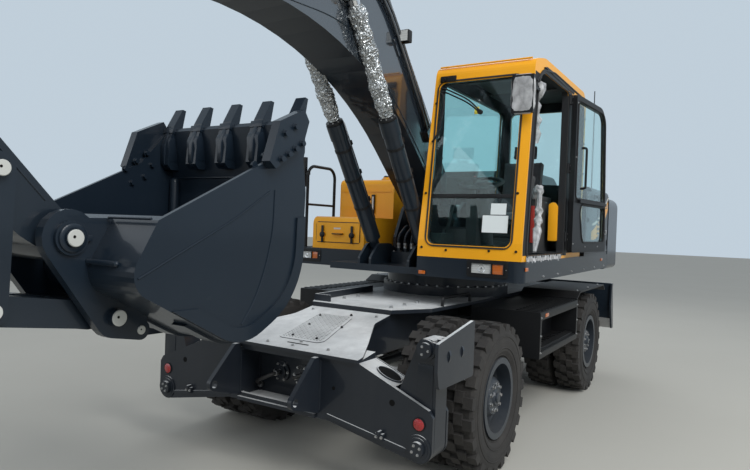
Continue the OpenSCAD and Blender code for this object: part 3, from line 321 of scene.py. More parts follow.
@dataclass(frozen=True)
class BareSteel:
    """Ground or plated steel with fine lines along its length and a little rust or oil."""

    name: str
    colour: Colour
    rough: float = 0.22
    stain: float = 0.1

    def material(self) -> bpy.types.Material:
        """Build the steel."""
        g = Graph(self.name)
        grain = g.noise(4.0, 6.0, 0.7, g.scaled(30.0, 30.0, 30.0))
        film = g.noise(6.0, 5.0, 0.6)
        stain = film.above(0.62, 0.2) * self.stain
        tone = g.mix(stain, self.colour, (0.2, 0.14, 0.09))
        return g.surface(Base_Color=tone, Metallic=(1.0 - stain).clamp(),
                         Roughness=(self.rough + grain * 0.12 + stain * 0.5).clamp(),
                         Normal=g.bump(grain, 0.05, 0.001))


@dataclass(frozen=True)
class Rubber:
    """Tyre or hose rubber with dust caked in its low places."""

    name: str
    colour: Colour = (0.022, 0.021, 0.02)
    dust: float = 0.55
    rough: float = 0.82

    def material(self) -> bpy.types.Material:
        """Build the rubber."""
        g = Graph(self.name)
        broad = g.noise(3.2, 6.0, 0.65)
        fine = g.noise(60.0, 5.0, 0.7)
        cake = ((broad * 0.9 + fine * 0.5 - 0.45) * self.dust * 2.0).clamp()
        tone = g.mix(cake, self.colour, (0.125, 0.112, 0.098))
        return g.surface(Base_Color=tone, Roughness=(self.rough + cake * 0.15).clamp(),
                         Normal=g.bump(fine * 0.7 + broad * 0.3, 0.3, 0.004))


@dataclass(frozen=True)
class Pane:
    """Tinted safety glass with a thin film of dust in places."""

    name: str
    colour: Colour = (0.66, 0.9, 0.9)

    def material(self) -> bpy.types.Material:
        """Build the glass."""
        g = Graph(self.name)
        film = g.noise(2.4, 5.0, 0.6)
        specks = g.noise(40.0, 3.0, 0.6).above(0.7, 0.1) * 0.1
        wipe = (film - 0.55).clamp() * 0.35
        return g.surface(Base_Color=g.mix(specks, self.colour, (0.75, 0.78, 0.76)), Transmission_Weight=1.0,
                         Roughness=(0.02 + specks * 0.5 + wipe * 0.3).clamp(), IOR=1.4, Specular_IOR_Level=0.3)


@dataclass(frozen=True)
class Moulded:
    """Matt or glossy moulded plastic with a fine pebble grain."""

    name: str
    colour: Colour
    rough: float = 0.55
    grain: float = 0.25
    dust: float = 0.15

    def material(self) -> bpy.types.Material:
        """Build the plastic."""
        g = Graph(self.name)
        pebble = g.node("ShaderNodeTexVoronoi", {}, Vector=g.place(), Scale=420.0)
        broad = g.noise(5.0, 5.0, 0.6)
        film = (broad.above(0.45, 0.5) * self.dust).clamp()
        tone = g.mix(film, self.colour, DUST)
        return g.surface(Base_Color=tone, Roughness=(self.rough + film * 0.4 + broad * 0.06).clamp(),
                         Normal=g.bump(pebble, self.grain, 0.0006))


@dataclass(frozen=True)
class Cloth:
    """Woven seat cloth."""

    name: str
    colour: Colour

    def material(self) -> bpy.types.Material:
        """Build the weave from two crossed waves."""
        g = Graph(self.name)
        x, y, z = g.axes()
        warp = (y * 2400.0).sine() * 0.5 + 0.5
        weft = ((x + z) * 2400.0).sine() * 0.5 + 0.5
        weave = warp * 0.5 + weft * 0.5
        broad = g.noise(9.0, 5.0, 0.6)
        tone = g.mix(weave * 0.6 + broad * 0.4, tuple(c * 0.55 for c in self.colour), self.colour)
        return g.surface(Base_Color=tone, Roughness=0.9, Sheen_Weight=0.3,
                         Normal=g.bump(weave + broad, 0.3, 0.0012))


@dataclass(frozen=True)
class Lens:
    """Ribbed lamp or reflector lens."""

    name: str
    colour: Colour
    ribs: float = 260.0

    def material(self) -> bpy.types.Material:
        """Build the lens with fine upright ribs."""
        g = Graph(self.name)
        x, y, z = g.axes()
        rib = ((x + y) * self.ribs * math.tau * 0.5).sine() * 0.5 + 0.5
        band = (z * self.ribs * 1.3).sine() * 0.5 + 0.5
        tone = g.mix(rib * 0.5 + band * 0.2, tuple(c * 0.55 for c in self.colour), self.colour)
        return g.surface(Base_Color=tone, Roughness=0.12, Coat_Weight=0.8, Coat_Roughness=0.05,
                         Normal=g.bump(rib + band, 0.35, 0.0015))


@dataclass(frozen=True)
class Film:
    """Crinkled wrapping film or foil, its creases darkened with painted shade."""

    name: str
    colour: Colour
    metallic: float = 0.0
    alpha: float = 1.0
    crinkle: float = 55.0
    rough: float = 0.28

    def material(self) -> bpy.types.Material:
        """Build the film with sharp folds from cell edges and two scales of noise, and painted shade in the creases."""
        g = Graph(self.name)
        warp = g.noise(14.0, 3.0, 0.6)
        cells = g.node("ShaderNodeTexVoronoi", {"feature": "DISTANCE_TO_EDGE"}, Vector=g.scaled(1.0, 1.0, 0.7),
                       Scale=self.crinkle)
        small = g.noise(90.0, 5.0, 0.7)
        fold = (cells * 2.2).clamp() * 0.6 + warp * 0.5 + small * 0.25
        # The colour darkens to a third in the creases: painted shade.
        tone = g.mix((fold * 1.5 - 0.35).clamp(), tuple(c * 0.35 for c in self.colour), self.colour)
        return g.surface(Base_Color=tone, Metallic=self.metallic, Roughness=(self.rough + small * 0.12).clamp(),
                         Alpha=(self.alpha + (1.0 - fold) * 0.25 * (1.0 - self.alpha)).clamp(),
                         Normal=g.bump(fold, 0.85, 0.012))


SLATE_TONE: Colour = (0.007, 0.0135, 0.022)
CHARCOAL: Colour = (0.008, 0.0125, 0.02)
AMBER_PAINT: Colour = (0.97, 0.405, 0.012)


class Finish(Enum):
    """Every finish of the machine."""

    SLATE = Paint("slate_enamel", SLATE_TONE, 0.34, 0.5, 0.04, 0.05, gloss=1.4)
    BOOM = Paint("boom_enamel", SLATE_TONE, 0.34, 0.95, 0.04, 0.05, gloss=2.3, flanks=True)
    PANEL = Paint("panel_enamel", (0.022, 0.026, 0.031), 0.36, 0.3, 0.06, 0.04, gloss=1.4)
    # The chassis carries the pale top layer of settled dust and painted sky reflection.
    CHASSIS = Paint("chassis_enamel", CHARCOAL, 0.38, 0.4, 0.09, 0.06, 0.05, 1.2, None, 0.95)
    BUCKET = Paint("bucket_enamel", (0.006, 0.013, 0.0225), 0.34, 0.5, 0.03, 0.06, gloss=1.3)
    ORANGE = Paint("amber_enamel", AMBER_PAINT, 0.32, 0.25, 0.04, 0.03, gloss=1.3)
    CAB = Paint("cab_enamel", AMBER_PAINT, 0.32, 0.25, 0.04, 0.03, lining=(0.02, 0.021, 0.023), gloss=1.3)
    BLACK = Paint("black_enamel", (0.005, 0.0055, 0.0065), 0.48, 0.12, 0.05, 0.04)
    # Near-black standing for the painted shadow inside holes, slots and bores.
    PIT = Paint("bore_shadow", (0.002, 0.002, 0.002), 0.9, 0.0, 0.0, 0.0)
    CREAM = Paint("cream_enamel", (0.66, 0.62, 0.55), 0.35, 0.3, 0.1, 0.04)
    PIN = Paint("pin_enamel", (0.5, 0.51, 0.48), 0.45, 0.2, 0.12, 0.3)
    RIM = Paint("rim_enamel", (0.018, 0.026, 0.037), 0.38, 0.3, 0.16, 0.08, 0.08, 1.1)
    CHROME = BareSteel("rod_chrome", (0.72, 0.73, 0.75), 0.12, 0.05)
    STEEL = BareSteel("bare_steel", (0.45, 0.45, 0.45), 0.35, 0.35)
    TYRE = Rubber("tyre_rubber", (0.0135, 0.0125, 0.012), 0.26)
    HOSE = Rubber("hose_rubber", (0.015, 0.015, 0.016), 0.15, 0.55)
    SEAL = Rubber("window_rubber", (0.011, 0.011, 0.012), 0.12, 0.6)
    GLASS = Pane("tinted_pane")
    CLOTH = Cloth("seat_weave", (0.035, 0.036, 0.042))
    PLASTIC = Moulded("console_plastic", (0.028, 0.03, 0.033))
    GREY_PLASTIC = Moulded("grey_plastic", (0.11, 0.115, 0.12), 0.5)
    RED_PLASTIC = Moulded("red_plastic", (0.5, 0.03, 0.02), 0.35)
    CLEAR_LENS = Lens("clear_lens", (0.78, 0.8, 0.78))
    AMBER_LENS = Lens("amber_lens", (0.75, 0.17, 0.012))
    RED_LENS = Lens("red_lens", (0.5, 0.008, 0.01), 420.0)
    FOIL = Film("rod_foil", (0.74, 0.76, 0.76), 0.9, 1.0, 44.0, 0.2)
    WRAP = Film("clear_wrap", (0.86, 0.87, 0.88), 0.0, 0.62, 16.0, 0.16)
    VEIL = Film("loose_film", (0.9, 0.91, 0.92), 0.0, 0.62, 9.0, 0.16)
    PAPER = Moulded("blank_paper", (0.72, 0.78, 0.78), 0.8, 0.05, 0.02)
    STICKER = Moulded("yellow_sticker", (0.7, 0.62, 0.06), 0.6, 0.02, 0.02)


_made: dict[str, bpy.types.Material] = {}


def skin(finish: Finish) -> bpy.types.Material:
    """The material of a finish, built once."""
    if finish.name not in _made:
        _made[finish.name] = finish.value.material()
    return _made[finish.name]


# ---------------------------------------------------------------- mesh making


Triple = tuple[float, float, float]
UP = Vector((0, 0, 1))
AHEAD = Vector((1, 0, 0))
LEFT = Vector((0, 1, 0))
SIDES = (-1, 1)

# Pins of the working arm, as x and z in its plane.
BOOM_FOOT = (0.2, 1.79)
BOOM_EYE = (2.28, 3.34)
ARM_CYLINDER_PIN = (2.75, 3.83)
ARM_PIVOT = (5.74, 2.967)
BUCKET_PIN = (4.274, 1.603)


def turns(count: int, offset: float = 0.0) -> list[float]:
    """Angles of count equal steps round a circle, the first one offset steps on."""
    return [math.tau * (k + offset) / count for k in range(count)]


class Shape:
    """A mesh under construction, in the row frame, that becomes one piece on one body."""

    def __init__(self, name: str, body: str, finish: Finish) -> None:
        """An empty shape.

        Args:
            name: the piece's name.
            body: the CAD body it rides on.
            finish: its finish.
        """
        self.name = name
        self.body = body
        self.finish = finish
        self.bm = bmesh.new()

    def box(self, low: Vector, high: Vector, turn: Matrix | None = None) -> "Shape":
        """Add a box between two corners, turned about its middle if a matrix is given."""
        middle, size = (low + high) / 2, high - low
        basis = Matrix.Translation(middle) @ (turn.to_4x4() if turn else Matrix.Identity(4))
        bmesh.ops.create_cube(self.bm, size=1.0, matrix=basis @ Matrix.Diagonal((*size, 1.0)))
        return self

    def rod(self, start: Vector, end: Vector, radius: float, tip: float | None = None, sides: int = 20) -> "Shape":
        """Add a closed cylinder or cone between two points."""
        axis = end - start
        basis = Matrix.Translation((start + end) / 2) @ axis.to_track_quat("Z", "Y").to_matrix().to_4x4()
        bmesh.ops.create_cone(self.bm, cap_ends=True, segments=sides, radius1=radius,
                              radius2=radius if tip is None else tip, depth=axis.length, matrix=basis)
        return self

    def prism(self, outline: list[Vector], shift: Vector) -> "Shape":
        """Add the solid that a flat outline sweeps when moved by shift."""
        base = [self.bm.verts.new(p) for p in outline]
        top = [self.bm.verts.new(p + shift) for p in outline]
        count = len(outline)
        faces = [self.bm.faces.new(base), self.bm.faces.new(list(reversed(top)))]
        for i in range(count):
            faces.append(self.bm.faces.new((base[i], top[i], top[(i + 1) % count], base[(i + 1) % count])))
        bmesh.ops.recalc_face_normals(self.bm, faces=faces)
        return self

    def frame(self, outer: list[Vector], inner: list[Vector], shift: Vector) -> "Shape":
        """Add a ring of material between two outlines of equal length, as thick as shift."""
        count = len(outer)
        rings = [[self.bm.verts.new(p) for p in ring] for ring in
                 (outer, [p + shift for p in outer], [p + shift for p in inner], inner)]
        faces = []
        for a in range(4):
            first, second = rings[a], rings[(a + 1) % 4]
            for i in range(count):
                j = (i + 1) % count
                faces.append(self.bm.faces.new((first[i], first[j], second[j], second[i])))
        bmesh.ops.recalc_face_normals(self.bm, faces=faces)
        return self

    def rim(self, place: Callable[[float, float], Vector], outer: list[tuple[float, float]],
            inner: list[tuple[float, float]], shift: Vector) -> "Shape":
        """Add a ring of material between two flat outlines, put in space by place(u, v)."""
        return self.frame([place(u, v) for u, v in outer], [place(u, v) for u, v in inner], shift)

    def lathe(self, centre: Vector, axis: Vector, profile: list[tuple[float, float]], sides: int = 48) -> "Shape":
        """Add a turned solid.

        Args:
            centre: origin of the profile.
            axis: direction of the turning axis.
            profile: radius and distance along the axis; ends on the axis close the solid.
            sides: number of steps round.

        Returns:
            The shape.
        """
        basis = Matrix.Translation(centre) @ axis.to_track_quat("Z", "Y").to_matrix().to_4x4()
        rings = []
        for radius, along in profile:
            if radius < 1e-6:
                rings.append([self.bm.verts.new(basis @ Vector((0, 0, along)))])
            else:
                rings.append(self.bm_ring([basis @ Vector((radius * math.cos(t), radius * math.sin(t), along))
                                           for t in turns(sides)]))
        faces = []
        for first, second in zip(rings, rings[1:]):
            for i in range(sides):
                j = (i + 1) % sides
                if len(first) == 1 and len(second) == 1:
                    continue
                if len(first) == 1:
                    faces.append(self.bm.faces.new((first[0], second[i], second[j])))
                elif len(second) == 1:
                    faces.append(self.bm.faces.new((first[i], first[j], second[0])))
                else:
                    faces.append(self.bm.faces.new((first[i], first[j], second[j], second[i])))
        bmesh.ops.recalc_face_normals(self.bm, faces=faces)
        return self

    def tube(self, path: list[Vector], radius: float, sides: int = 10, round_off: float = 0.0) -> "Shape":
        """Add a pipe along a path, its corners rounded to round_off."""
        points = soften(path, round_off) if round_off > 0 else path
        rings, side = [], None
        for i, point in enumerate(points):
            ahead = points[min(i + 1, len(points) - 1)] - points[max(i - 1, 0)]
            ahead.normalize()
            if side is None:
                side = ahead.orthogonal().normalized()
            side = (side - ahead * side.dot(ahead)).normalized()
            other = ahead.cross(side)
            rings.append(self.bm_ring([point + radius * (math.cos(t) * side + math.sin(t) * other)
                                       for t in turns(sides)]))
        return self.bridge(rings)

    def bm_ring(self, points: list[Vector]) -> list[bmesh.types.BMVert]:
        """Add loose corners for a later bridge."""
        return [self.bm.verts.new(p) for p in points]

    def bridge(self, rings: list[list[bmesh.types.BMVert]]) -> "Shape":
        """Join rings of equal length into a closed skin."""
        faces = [self.bm.faces.new(list(reversed(rings[0]))), self.bm.faces.new(rings[-1])]
        for first, second in zip(rings, rings[1:]):
            for k in range(len(first)):
                m = (k + 1) % len(first)
                faces.append(self.bm.faces.new((first[k], first[m], second[m], second[k])))
        bmesh.ops.recalc_face_normals(self.bm, faces=faces)
        return self

    def sheet(self, rows: list[list[Vector]], thick: float) -> "Shape":
        """Add a curved sheet through a grid of points, closed with its thickness behind its faces."""
        count, width = len(rows), len(rows[0])
        grid = [[self.bm.verts.new(p) for p in row] for row in rows]
        faces = [self.bm.faces.new((grid[i][j], grid[i][j + 1], grid[i + 1][j + 1], grid[i + 1][j]))
                 for i in range(count - 1) for j in range(width - 1)]
        bmesh.ops.recalc_face_normals(self.bm, faces=faces)
        bmesh.ops.solidify(self.bm, geom=faces, thickness=thick)
        return self

    def done(self, bevel: float = 0.0, smooth: float = 35.0, slot: str | None = None) -> bpy.types.Object:
        """Turn the shape into an object that rides on its body.

        Args:
            bevel: width of the bevel on sharp edges.
            smooth: faces that meet below this angle are shaded smooth.
            slot: not used.

        Returns:
            The object.
        """
        mesh = bpy.data.meshes.new(self.name)
        bmesh.ops.remove_doubles(self.bm, verts=self.bm.verts[:], dist=1e-6)
        if bevel > 0:
            sharp = [e for e in self.bm.edges if len(e.link_faces) == 2 and e.calc_face_angle(0.0) > math.radians(40)]
            bmesh.ops.bevel(self.bm, geom=sharp, offset=bevel, segments=2, profile=0.6, affect="EDGES",
                            clamp_overlap=True)
        self.bm.to_mesh(mesh)
        self.bm.free()
        return finish_piece(self.name, mesh, self.body, self.finish, smooth)


def finish_piece(name: str, mesh: bpy.types.Mesh, body: str, finish: Finish, smooth: float = 35.0) -> bpy.types.Object:
    """Link a mesh as a piece that rides on a body, with its finish and shading."""
    piece = bpy.data.objects.new(name, mesh)
    bpy.context.scene.collection.objects.link(piece)
    mesh.materials.clear()
    mesh.materials.append(skin(finish))
    mesh.shade_smooth()
    mesh.set_sharp_from_angle(angle=math.radians(smooth))
    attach(piece, body)
    log.info("piece %s on %s: %d faces", name, body, len(mesh.polygons))
    return piece


def soften(path: list[Vector], radius: float, steps: int = 5) -> list[Vector]:
    """A path with each inner corner replaced by a short curve that starts radius away from it."""
    result = [path[0]]
    for before, corner, after in zip(path, path[1:], path[2:]):
        back, ahead = before - corner, after - corner
        reach = min(radius, back.length * 0.48, ahead.length * 0.48)
        start, end = corner + back.normalized() * reach, corner + ahead.normalized() * reach
        for i in range(steps + 1):
            t = i / steps
            result.append(start * (1 - t) ** 2 + corner * 2 * t * (1 - t) + end * t ** 2)
    result.append(path[-1])
    return result


def rounded(corners: list[tuple[float, float, float]], steps: int = 5) -> list[tuple[float, float]]:
    """Flat outline from corners (u, v, radius), radius 0 leaving a sharp corner; same point count per corner."""
    outline = []
    count = len(corners)
    for i, (u, v, radius) in enumerate(corners):
        p, q, s = (Vector(corners[k % count][:2]) for k in (i - 1, i, i + 1))
        a, b = (p - q).normalized(), (s - q).normalized()
        if radius <= 0:
            outline += [(u, v)] * (steps + 1)
            continue
        half = math.acos(max(-1.0, min(1.0, a.dot(b)))) / 2
        centre = q + (a + b).normalized() * radius / math.sin(half)
        start, end = q + a * radius / math.tan(half) - centre, q + b * radius / math.tan(half) - centre
        t0 = math.atan2(start.y, start.x)
        turn = math.remainder(math.atan2(end.y, end.x) - t0, math.tau)
        outline += [(centre.x + radius * math.cos(t0 + turn * k / steps),
                     centre.y + radius * math.sin(t0 + turn * k / steps)) for k in range(steps + 1)]
    return outline


def plate(low_u: float, low_v: float, high_u: float, high_v: float, radius: float) -> list[tuple[float, float]]:
    """Rounded rectangle between two corners."""
    return rounded([(low_u, low_v, radius), (high_u, low_v, radius), (high_u, high_v, radius), (low_u, high_v, radius)])


def grown(corners: list[tuple[float, float, float]], by: float, least: float = 0.012) -> list[tuple[float, float]]:
    """Outline of rounded corners moved outwards by a width, no corner sharper than least."""
    mid_u, mid_v = (sum(c[k] for c in corners) / len(corners) for k in (0, 1))
    return rounded([(u + math.copysign(by, u - mid_u), v + math.copysign(by, v - mid_v), max(least, r + by))
                    for u, v, r in corners])


def on_line(start: tuple[float, float], end: tuple[float, float], a: float, y: float, aside: float = 0.0) -> Vector:
    """A place at distance a from start towards end, moved aside in the plane of the arm."""
    d = heading(start, end)
    p = Vector((start[0], y, start[1])) + d * a + upright(d) * aside
    return at(*p)


def heading(start: tuple[float, float], end: tuple[float, float]) -> Vector:
    """Direction from start to end in the plane of the arm."""
    return Vector((end[0] - start[0], 0, end[1] - start[1])).normalized()


def upright(d: Vector) -> Vector:
    """Direction square to d in the plane of the arm."""
    return Vector((-d.z, 0, d.x))


def blocks(name: str, finish: Finish, boxes: tuple[tuple[Triple, Triple], ...], bevel: float = 0.0,
           slot: str | None = None) -> bpy.types.Object:
    """One piece of plain boxes on the upper structure.

    Args:
        name: the piece's name.
        finish: its finish.
        boxes: low and high corner of each box.
        bevel: width of the bevel on sharp edges.
        slot: handed to Shape.done, which does not use it.

    Returns:
        The piece.
    """
    shape = Shape(name, "upper", finish)
    for low, high in boxes:
        shape.box(at(*low), at(*high))
    return shape.done(bevel, slot=slot)


# ---------------------------------------------------------------- geometry nodes


@dataclass
class Fastener:
    """One bolt head: where it sits, which way it points and how wide it is."""

    place: Vector
    out: Vector
    width: float = 0.03


class FastenerTree:
    """Geometry Nodes tree that puts a hexagon head with a washer on each point of a mesh."""

    def __init__(self) -> None:
        """Leave the tree to the first use."""
        self.tree: bpy.types.NodeTree | None = None
        self.finish = ""

    def grow(self) -> None:
        """Build the tree once."""
        tree = bpy.data.node_groups.new("bolt_heads", "GeometryNodeTree")
        tree.interface.new_socket("Points", in_out="INPUT", socket_type="NodeSocketGeometry")
        height = tree.interface.new_socket("Head height", in_out="INPUT", socket_type="NodeSocketFloat")
        height.default_value = 0.62
        self.finish = tree.interface.new_socket("Finish", in_out="INPUT", socket_type="NodeSocketMaterial").identifier
        tree.interface.new_socket("Mesh", in_out="OUTPUT", socket_type="NodeSocketGeometry")
        n, link = tree.nodes.new, tree.links.new
        source, sink = n("NodeGroupInput"), n("NodeGroupOutput")
        head, washer = n("GeometryNodeMeshCylinder"), n("GeometryNodeMeshCylinder")
        head.inputs["Vertices"].default_value = 6
        head.inputs["Radius"].default_value = 0.5
        link(source.outputs["Head height"], head.inputs["Depth"])
        washer.inputs["Vertices"].default_value = 14
        washer.inputs["Radius"].default_value = 0.68
        washer.inputs["Depth"].default_value = 0.16
        lift = n("GeometryNodeTransform")
        shift = n("ShaderNodeCombineXYZ")
        half = n("ShaderNodeMath")
        half.operation = "MULTIPLY"
        half.inputs[1].default_value = 0.5
        link(source.outputs["Head height"], half.inputs[0])
        link(half.outputs[0], shift.inputs[2])
        link(head.outputs["Mesh"], lift.inputs["Geometry"])
        link(shift.outputs[0], lift.inputs["Translation"])
        both = n("GeometryNodeJoinGeometry")
        link(lift.outputs[0], both.inputs[0])
        link(washer.outputs["Mesh"], both.inputs[0])
        out, width = n("GeometryNodeInputNamedAttribute"), n("GeometryNodeInputNamedAttribute")
        out.data_type, width.data_type = "FLOAT_VECTOR", "FLOAT"
        out.inputs["Name"].default_value, width.inputs["Name"].default_value = "out", "width"
        align = n("FunctionNodeAlignRotationToVector")
        align.axis = "Z"
        link(out.outputs["Attribute"], align.inputs["Vector"])
        spread = n("GeometryNodeInstanceOnPoints")
        link(source.outputs["Points"], spread.inputs["Points"])
        link(both.outputs[0], spread.inputs["Instance"])
        link(align.outputs[0], spread.inputs["Rotation"])
        link(width.outputs["Attribute"], spread.inputs["Scale"])
        real, dress = n("GeometryNodeRealizeInstances"), n("GeometryNodeSetMaterial")
        link(spread.outputs[0], real.inputs[0])
        link(real.outputs[0], dress.inputs["Geometry"])
        link(source.outputs["Finish"], dress.inputs["Material"])
        link(dress.outputs[0], sink.inputs[0])
        self.tree = tree

    def make(self, name: str, body: str, finish: Finish, spots: list[Fastener]) -> bpy.types.Object:
        """All the bolt heads of one body as one piece.

        Args:
            name: the piece's name.
            body: the CAD body it rides on.
            finish: its finish.
            spots: where the heads sit.

        Returns:
            The piece.
        """
        if self.tree is None:
            self.grow()
        mesh = bpy.data.meshes.new(name + "_points")
        mesh.from_pydata([s.place for s in spots], [], [])
        mesh.attributes.new("out", "FLOAT_VECTOR", "POINT")
        mesh.attributes.new("width", "FLOAT", "POINT")
        out, width = mesh.attributes["out"], mesh.attributes["width"]
        for i, spot in enumerate(spots):
            out.data[i].vector = spot.out
            width.data[i].value = spot.width
        return bake_tree(name, body, finish, mesh, self.tree, {self.finish: skin(finish)})


def bake_tree(name: str, body: str, finish: Finish, mesh: bpy.types.Mesh, tree: bpy.types.NodeTree,
              inputs: dict[str, object]) -> bpy.types.Object:
    """Run a Geometry Nodes tree on a mesh and keep the result as a plain piece.

    Args:
        name: the piece's name.
        body: the CAD body it rides on.
        finish: its finish.
        mesh: the mesh the tree reads.
        tree: the tree.
        inputs: values of the modifier's inputs by socket identifier.

    Returns:
        The piece.
    """
    holder = bpy.data.objects.new(name + "_seed", mesh)
    bpy.context.scene.collection.objects.link(holder)
    modifier = holder.modifiers.new("build", "NODES")
    modifier.node_group = tree
    for key, value in inputs.items():
        modifier[key] = value
    bpy.context.view_layer.update()
    evaluated = holder.evaluated_get(bpy.context.evaluated_depsgraph_get())
    result = bpy.data.meshes.new_from_object(evaluated)
    result.name = name
    bpy.data.objects.remove(holder)
    return finish_piece(name, result, body, finish)


BOLTS = FastenerTree()


# ---------------------------------------------------------------- camera, light and floor


@dataclass
class Studio:
    """Camera at the photograph's angle, soft light and a plain floor."""

    camera_place: Triple = (5.7902, 2.6785, 1.6964)
    yaw: float = 0.5511
    pitch: float = -0.0141
    roll: float = 0.0353
    focal_px: float = 607.57
    sensor: float = 36.0
    floor_reach: float = 60.0
    key: float = 900.0
    fill: float = 90.0
    sky: float = 0.58

    def camera(self) -> None:
        """Create the camera from the angles measured in the photograph."""
        cy, sy, cp, sp = math.cos(self.yaw), math.sin(self.yaw), math.cos(self.pitch), math.sin(self.pitch)
        ahead = Vector((-cy * cp, -sy * cp, sp))
        right = ahead.cross(UP).normalized()
        up = right.cross(ahead)
        cr, sr = math.cos(self.roll), math.sin(self.roll)
        right2, up2 = cr * right + sr * up, -sr * right + cr * up
        data = bpy.data.cameras.new("photo_camera")
        data.sensor_fit = "HORIZONTAL"
        data.sensor_width = self.sensor
        data.lens = self.focal_px / PHOTO_SIZE[0] * self.sensor
        data.clip_end = 200.0
        camera = bpy.data.objects.new("photo_camera", data)
        bpy.context.scene.collection.objects.link(camera)
        basis = Matrix((right2, up2, -ahead)).transposed().to_4x4()
        camera.matrix_world = Matrix.Translation(at(*self.camera_place)) @ basis
        bpy.context.scene.camera = camera

    def lamps(self) -> None:
        """Large soft lamps: high in front on the left, lower on the right, and one behind."""
        for name, place, aim, size, watts in (
                ("key", (5.5, 7.5, 8.5), (1.5, 0.0, 1.6), 7.0, self.key),
                ("fill", (8.5, -5.0, 4.5), (1.5, 0.0, 1.6), 6.0, self.fill),
                ("back", (-7.5, -2.0, 7.5), (-0.5, 0.0, 1.8), 6.0, self.fill * 1.4)):
            data = bpy.data.lights.new(name, "AREA")
            data.shape, data.size, data.energy = "DISK", size, watts
            lamp = bpy.data.objects.new(name, data)
            bpy.context.scene.collection.objects.link(lamp)
            lamp.location = at(*place)
            lamp.rotation_euler = (at(*aim) - at(*place)).to_track_quat("-Z", "Y").to_euler()

    def world(self) -> None:
        """Even pale sky as light, and a bluer one that the camera sees directly, in mirrors and through glass."""
        world = bpy.data.worlds.new("studio")
        bpy.context.scene.world = world
        world.use_nodes = True
        nodes, links = world.node_tree.nodes, world.node_tree.links
        nodes.clear()
        path, mix, output = (nodes.new(kind) for kind in
                             ("ShaderNodeLightPath", "ShaderNodeMixShader", "ShaderNodeOutputWorld"))
        light, seen = nodes.new("ShaderNodeBackground"), nodes.new("ShaderNodeBackground")
        light.inputs[0].default_value, light.inputs[1].default_value = (0.86, 0.92, 1.0, 1.0), self.sky
        seen.inputs[0].default_value, seen.inputs[1].default_value = (0.53, 0.62, 0.7, 1.0), 1.0
        glossy, clear = nodes.new("ShaderNodeMath"), nodes.new("ShaderNodeMath")
        glossy.operation = clear.operation = "MAXIMUM"
        links.new(path.outputs["Is Camera Ray"], glossy.inputs[0])
        links.new(path.outputs["Is Glossy Ray"], glossy.inputs[1])
        links.new(glossy.outputs[0], clear.inputs[0])
        links.new(path.outputs["Is Transmission Ray"], clear.inputs[1])
        links.new(clear.outputs[0], mix.inputs[0])
        links.new(light.outputs[0], mix.inputs[1])
        links.new(seen.outputs[0], mix.inputs[2])
        links.new(mix.outputs[0], output.inputs[0])

    def floor(self) -> None:
        """A wide plain floor that isn't part of the object."""
        mesh = bpy.data.meshes.new("studio_floor")
        reach = self.floor_reach
        mesh.from_pydata([(-reach, -reach, 0), (reach, -reach, 0), (reach, reach, 0), (-reach, reach, 0)], [],
                         [(0, 1, 2, 3)])
        floor = bpy.data.objects.new("studio_floor", mesh)
        bpy.context.scene.collection.objects.link(floor)
        g = Graph("pale_floor")
        mesh.materials.append(g.surface(Base_Color=g.mix(g.noise(0.7, 4.0), (0.46, 0.45, 0.4), (0.5, 0.49, 0.44)),
                                        Roughness=0.9))

    def build(self) -> None:
        """Set up everything that isn't the machine."""
        bpy.context.scene.view_settings.view_transform = "Standard"
        self.camera()
        self.lamps()
        self.world()
        self.floor()


# ---------------------------------------------------------------- the machine


@dataclass
class Skins:
    """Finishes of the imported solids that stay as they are."""

    by_node: dict[str, Finish] = field(default_factory=lambda: {
        "chassis_frame": Finish.CHASSIS, "outrigger_beam": Finish.CHASSIS, "step_boxes": Finish.BLACK,
        "axles": Finish.CHASSIS, "knuckle_l": Finish.CHASSIS, "knuckle_r": Finish.CHASSIS,
        "tyre_fl": Finish.TYRE, "tyre_fr": Finish.TYRE, "tyre_rl": Finish.TYRE, "tyre_rr": Finish.TYRE,
        "rim_fl": Finish.RIM, "rim_fr": Finish.RIM, "rim_rl": Finish.RIM, "rim_rr": Finish.RIM,
        "leg_l": Finish.CHASSIS, "leg_r": Finish.CHASSIS, "pad_l": Finish.CHASSIS, "pad_r": Finish.CHASSIS,
        "blade": Finish.SLATE, "blade_barrels": Finish.BLACK, "blade_rods": Finish.CHROME,
        "revolving_frame": Finish.SLATE, "counterweight": Finish.SLATE, "side_panels": Finish.PANEL,
        "right_tank": Finish.ORANGE, "engine_hood": Finish.PANEL, "cab_shell": Finish.CAB,
        "cab_glass": Finish.GLASS, "seat": Finish.CLOTH, "controls": Finish.PLASTIC,
        "door_frame": Finish.BLACK, "door_glass": Finish.GLASS, "fittings": Finish.BLACK,
        "lamps": Finish.CLEAR_LENS, "boom": Finish.BOOM, "boom_barrels": Finish.SLATE,
        "boom_rods": Finish.CHROME, "arm": Finish.SLATE, "arm_barrel": Finish.SLATE, "arm_rod": Finish.CHROME,
        "bucket_barrel": Finish.SLATE, "bucket_rod": Finish.CHROME, "guide_links": Finish.SLATE,
        "bucket_link": Finish.SLATE, "bucket": Finish.BUCKET})

    def dress(self, nodes: dict[str, bpy.types.Object]) -> None:
        """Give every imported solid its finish."""
        for name, node in nodes.items():
            material = skin(self.by_node[name])
            if not node.material_slots:
                node.data.materials.append(material)
            for holder in node.material_slots:
                holder.material = material
            log.info("solid %s: %s", name, self.by_node[name].name)


# ---------------------------------------------------------------- running gear


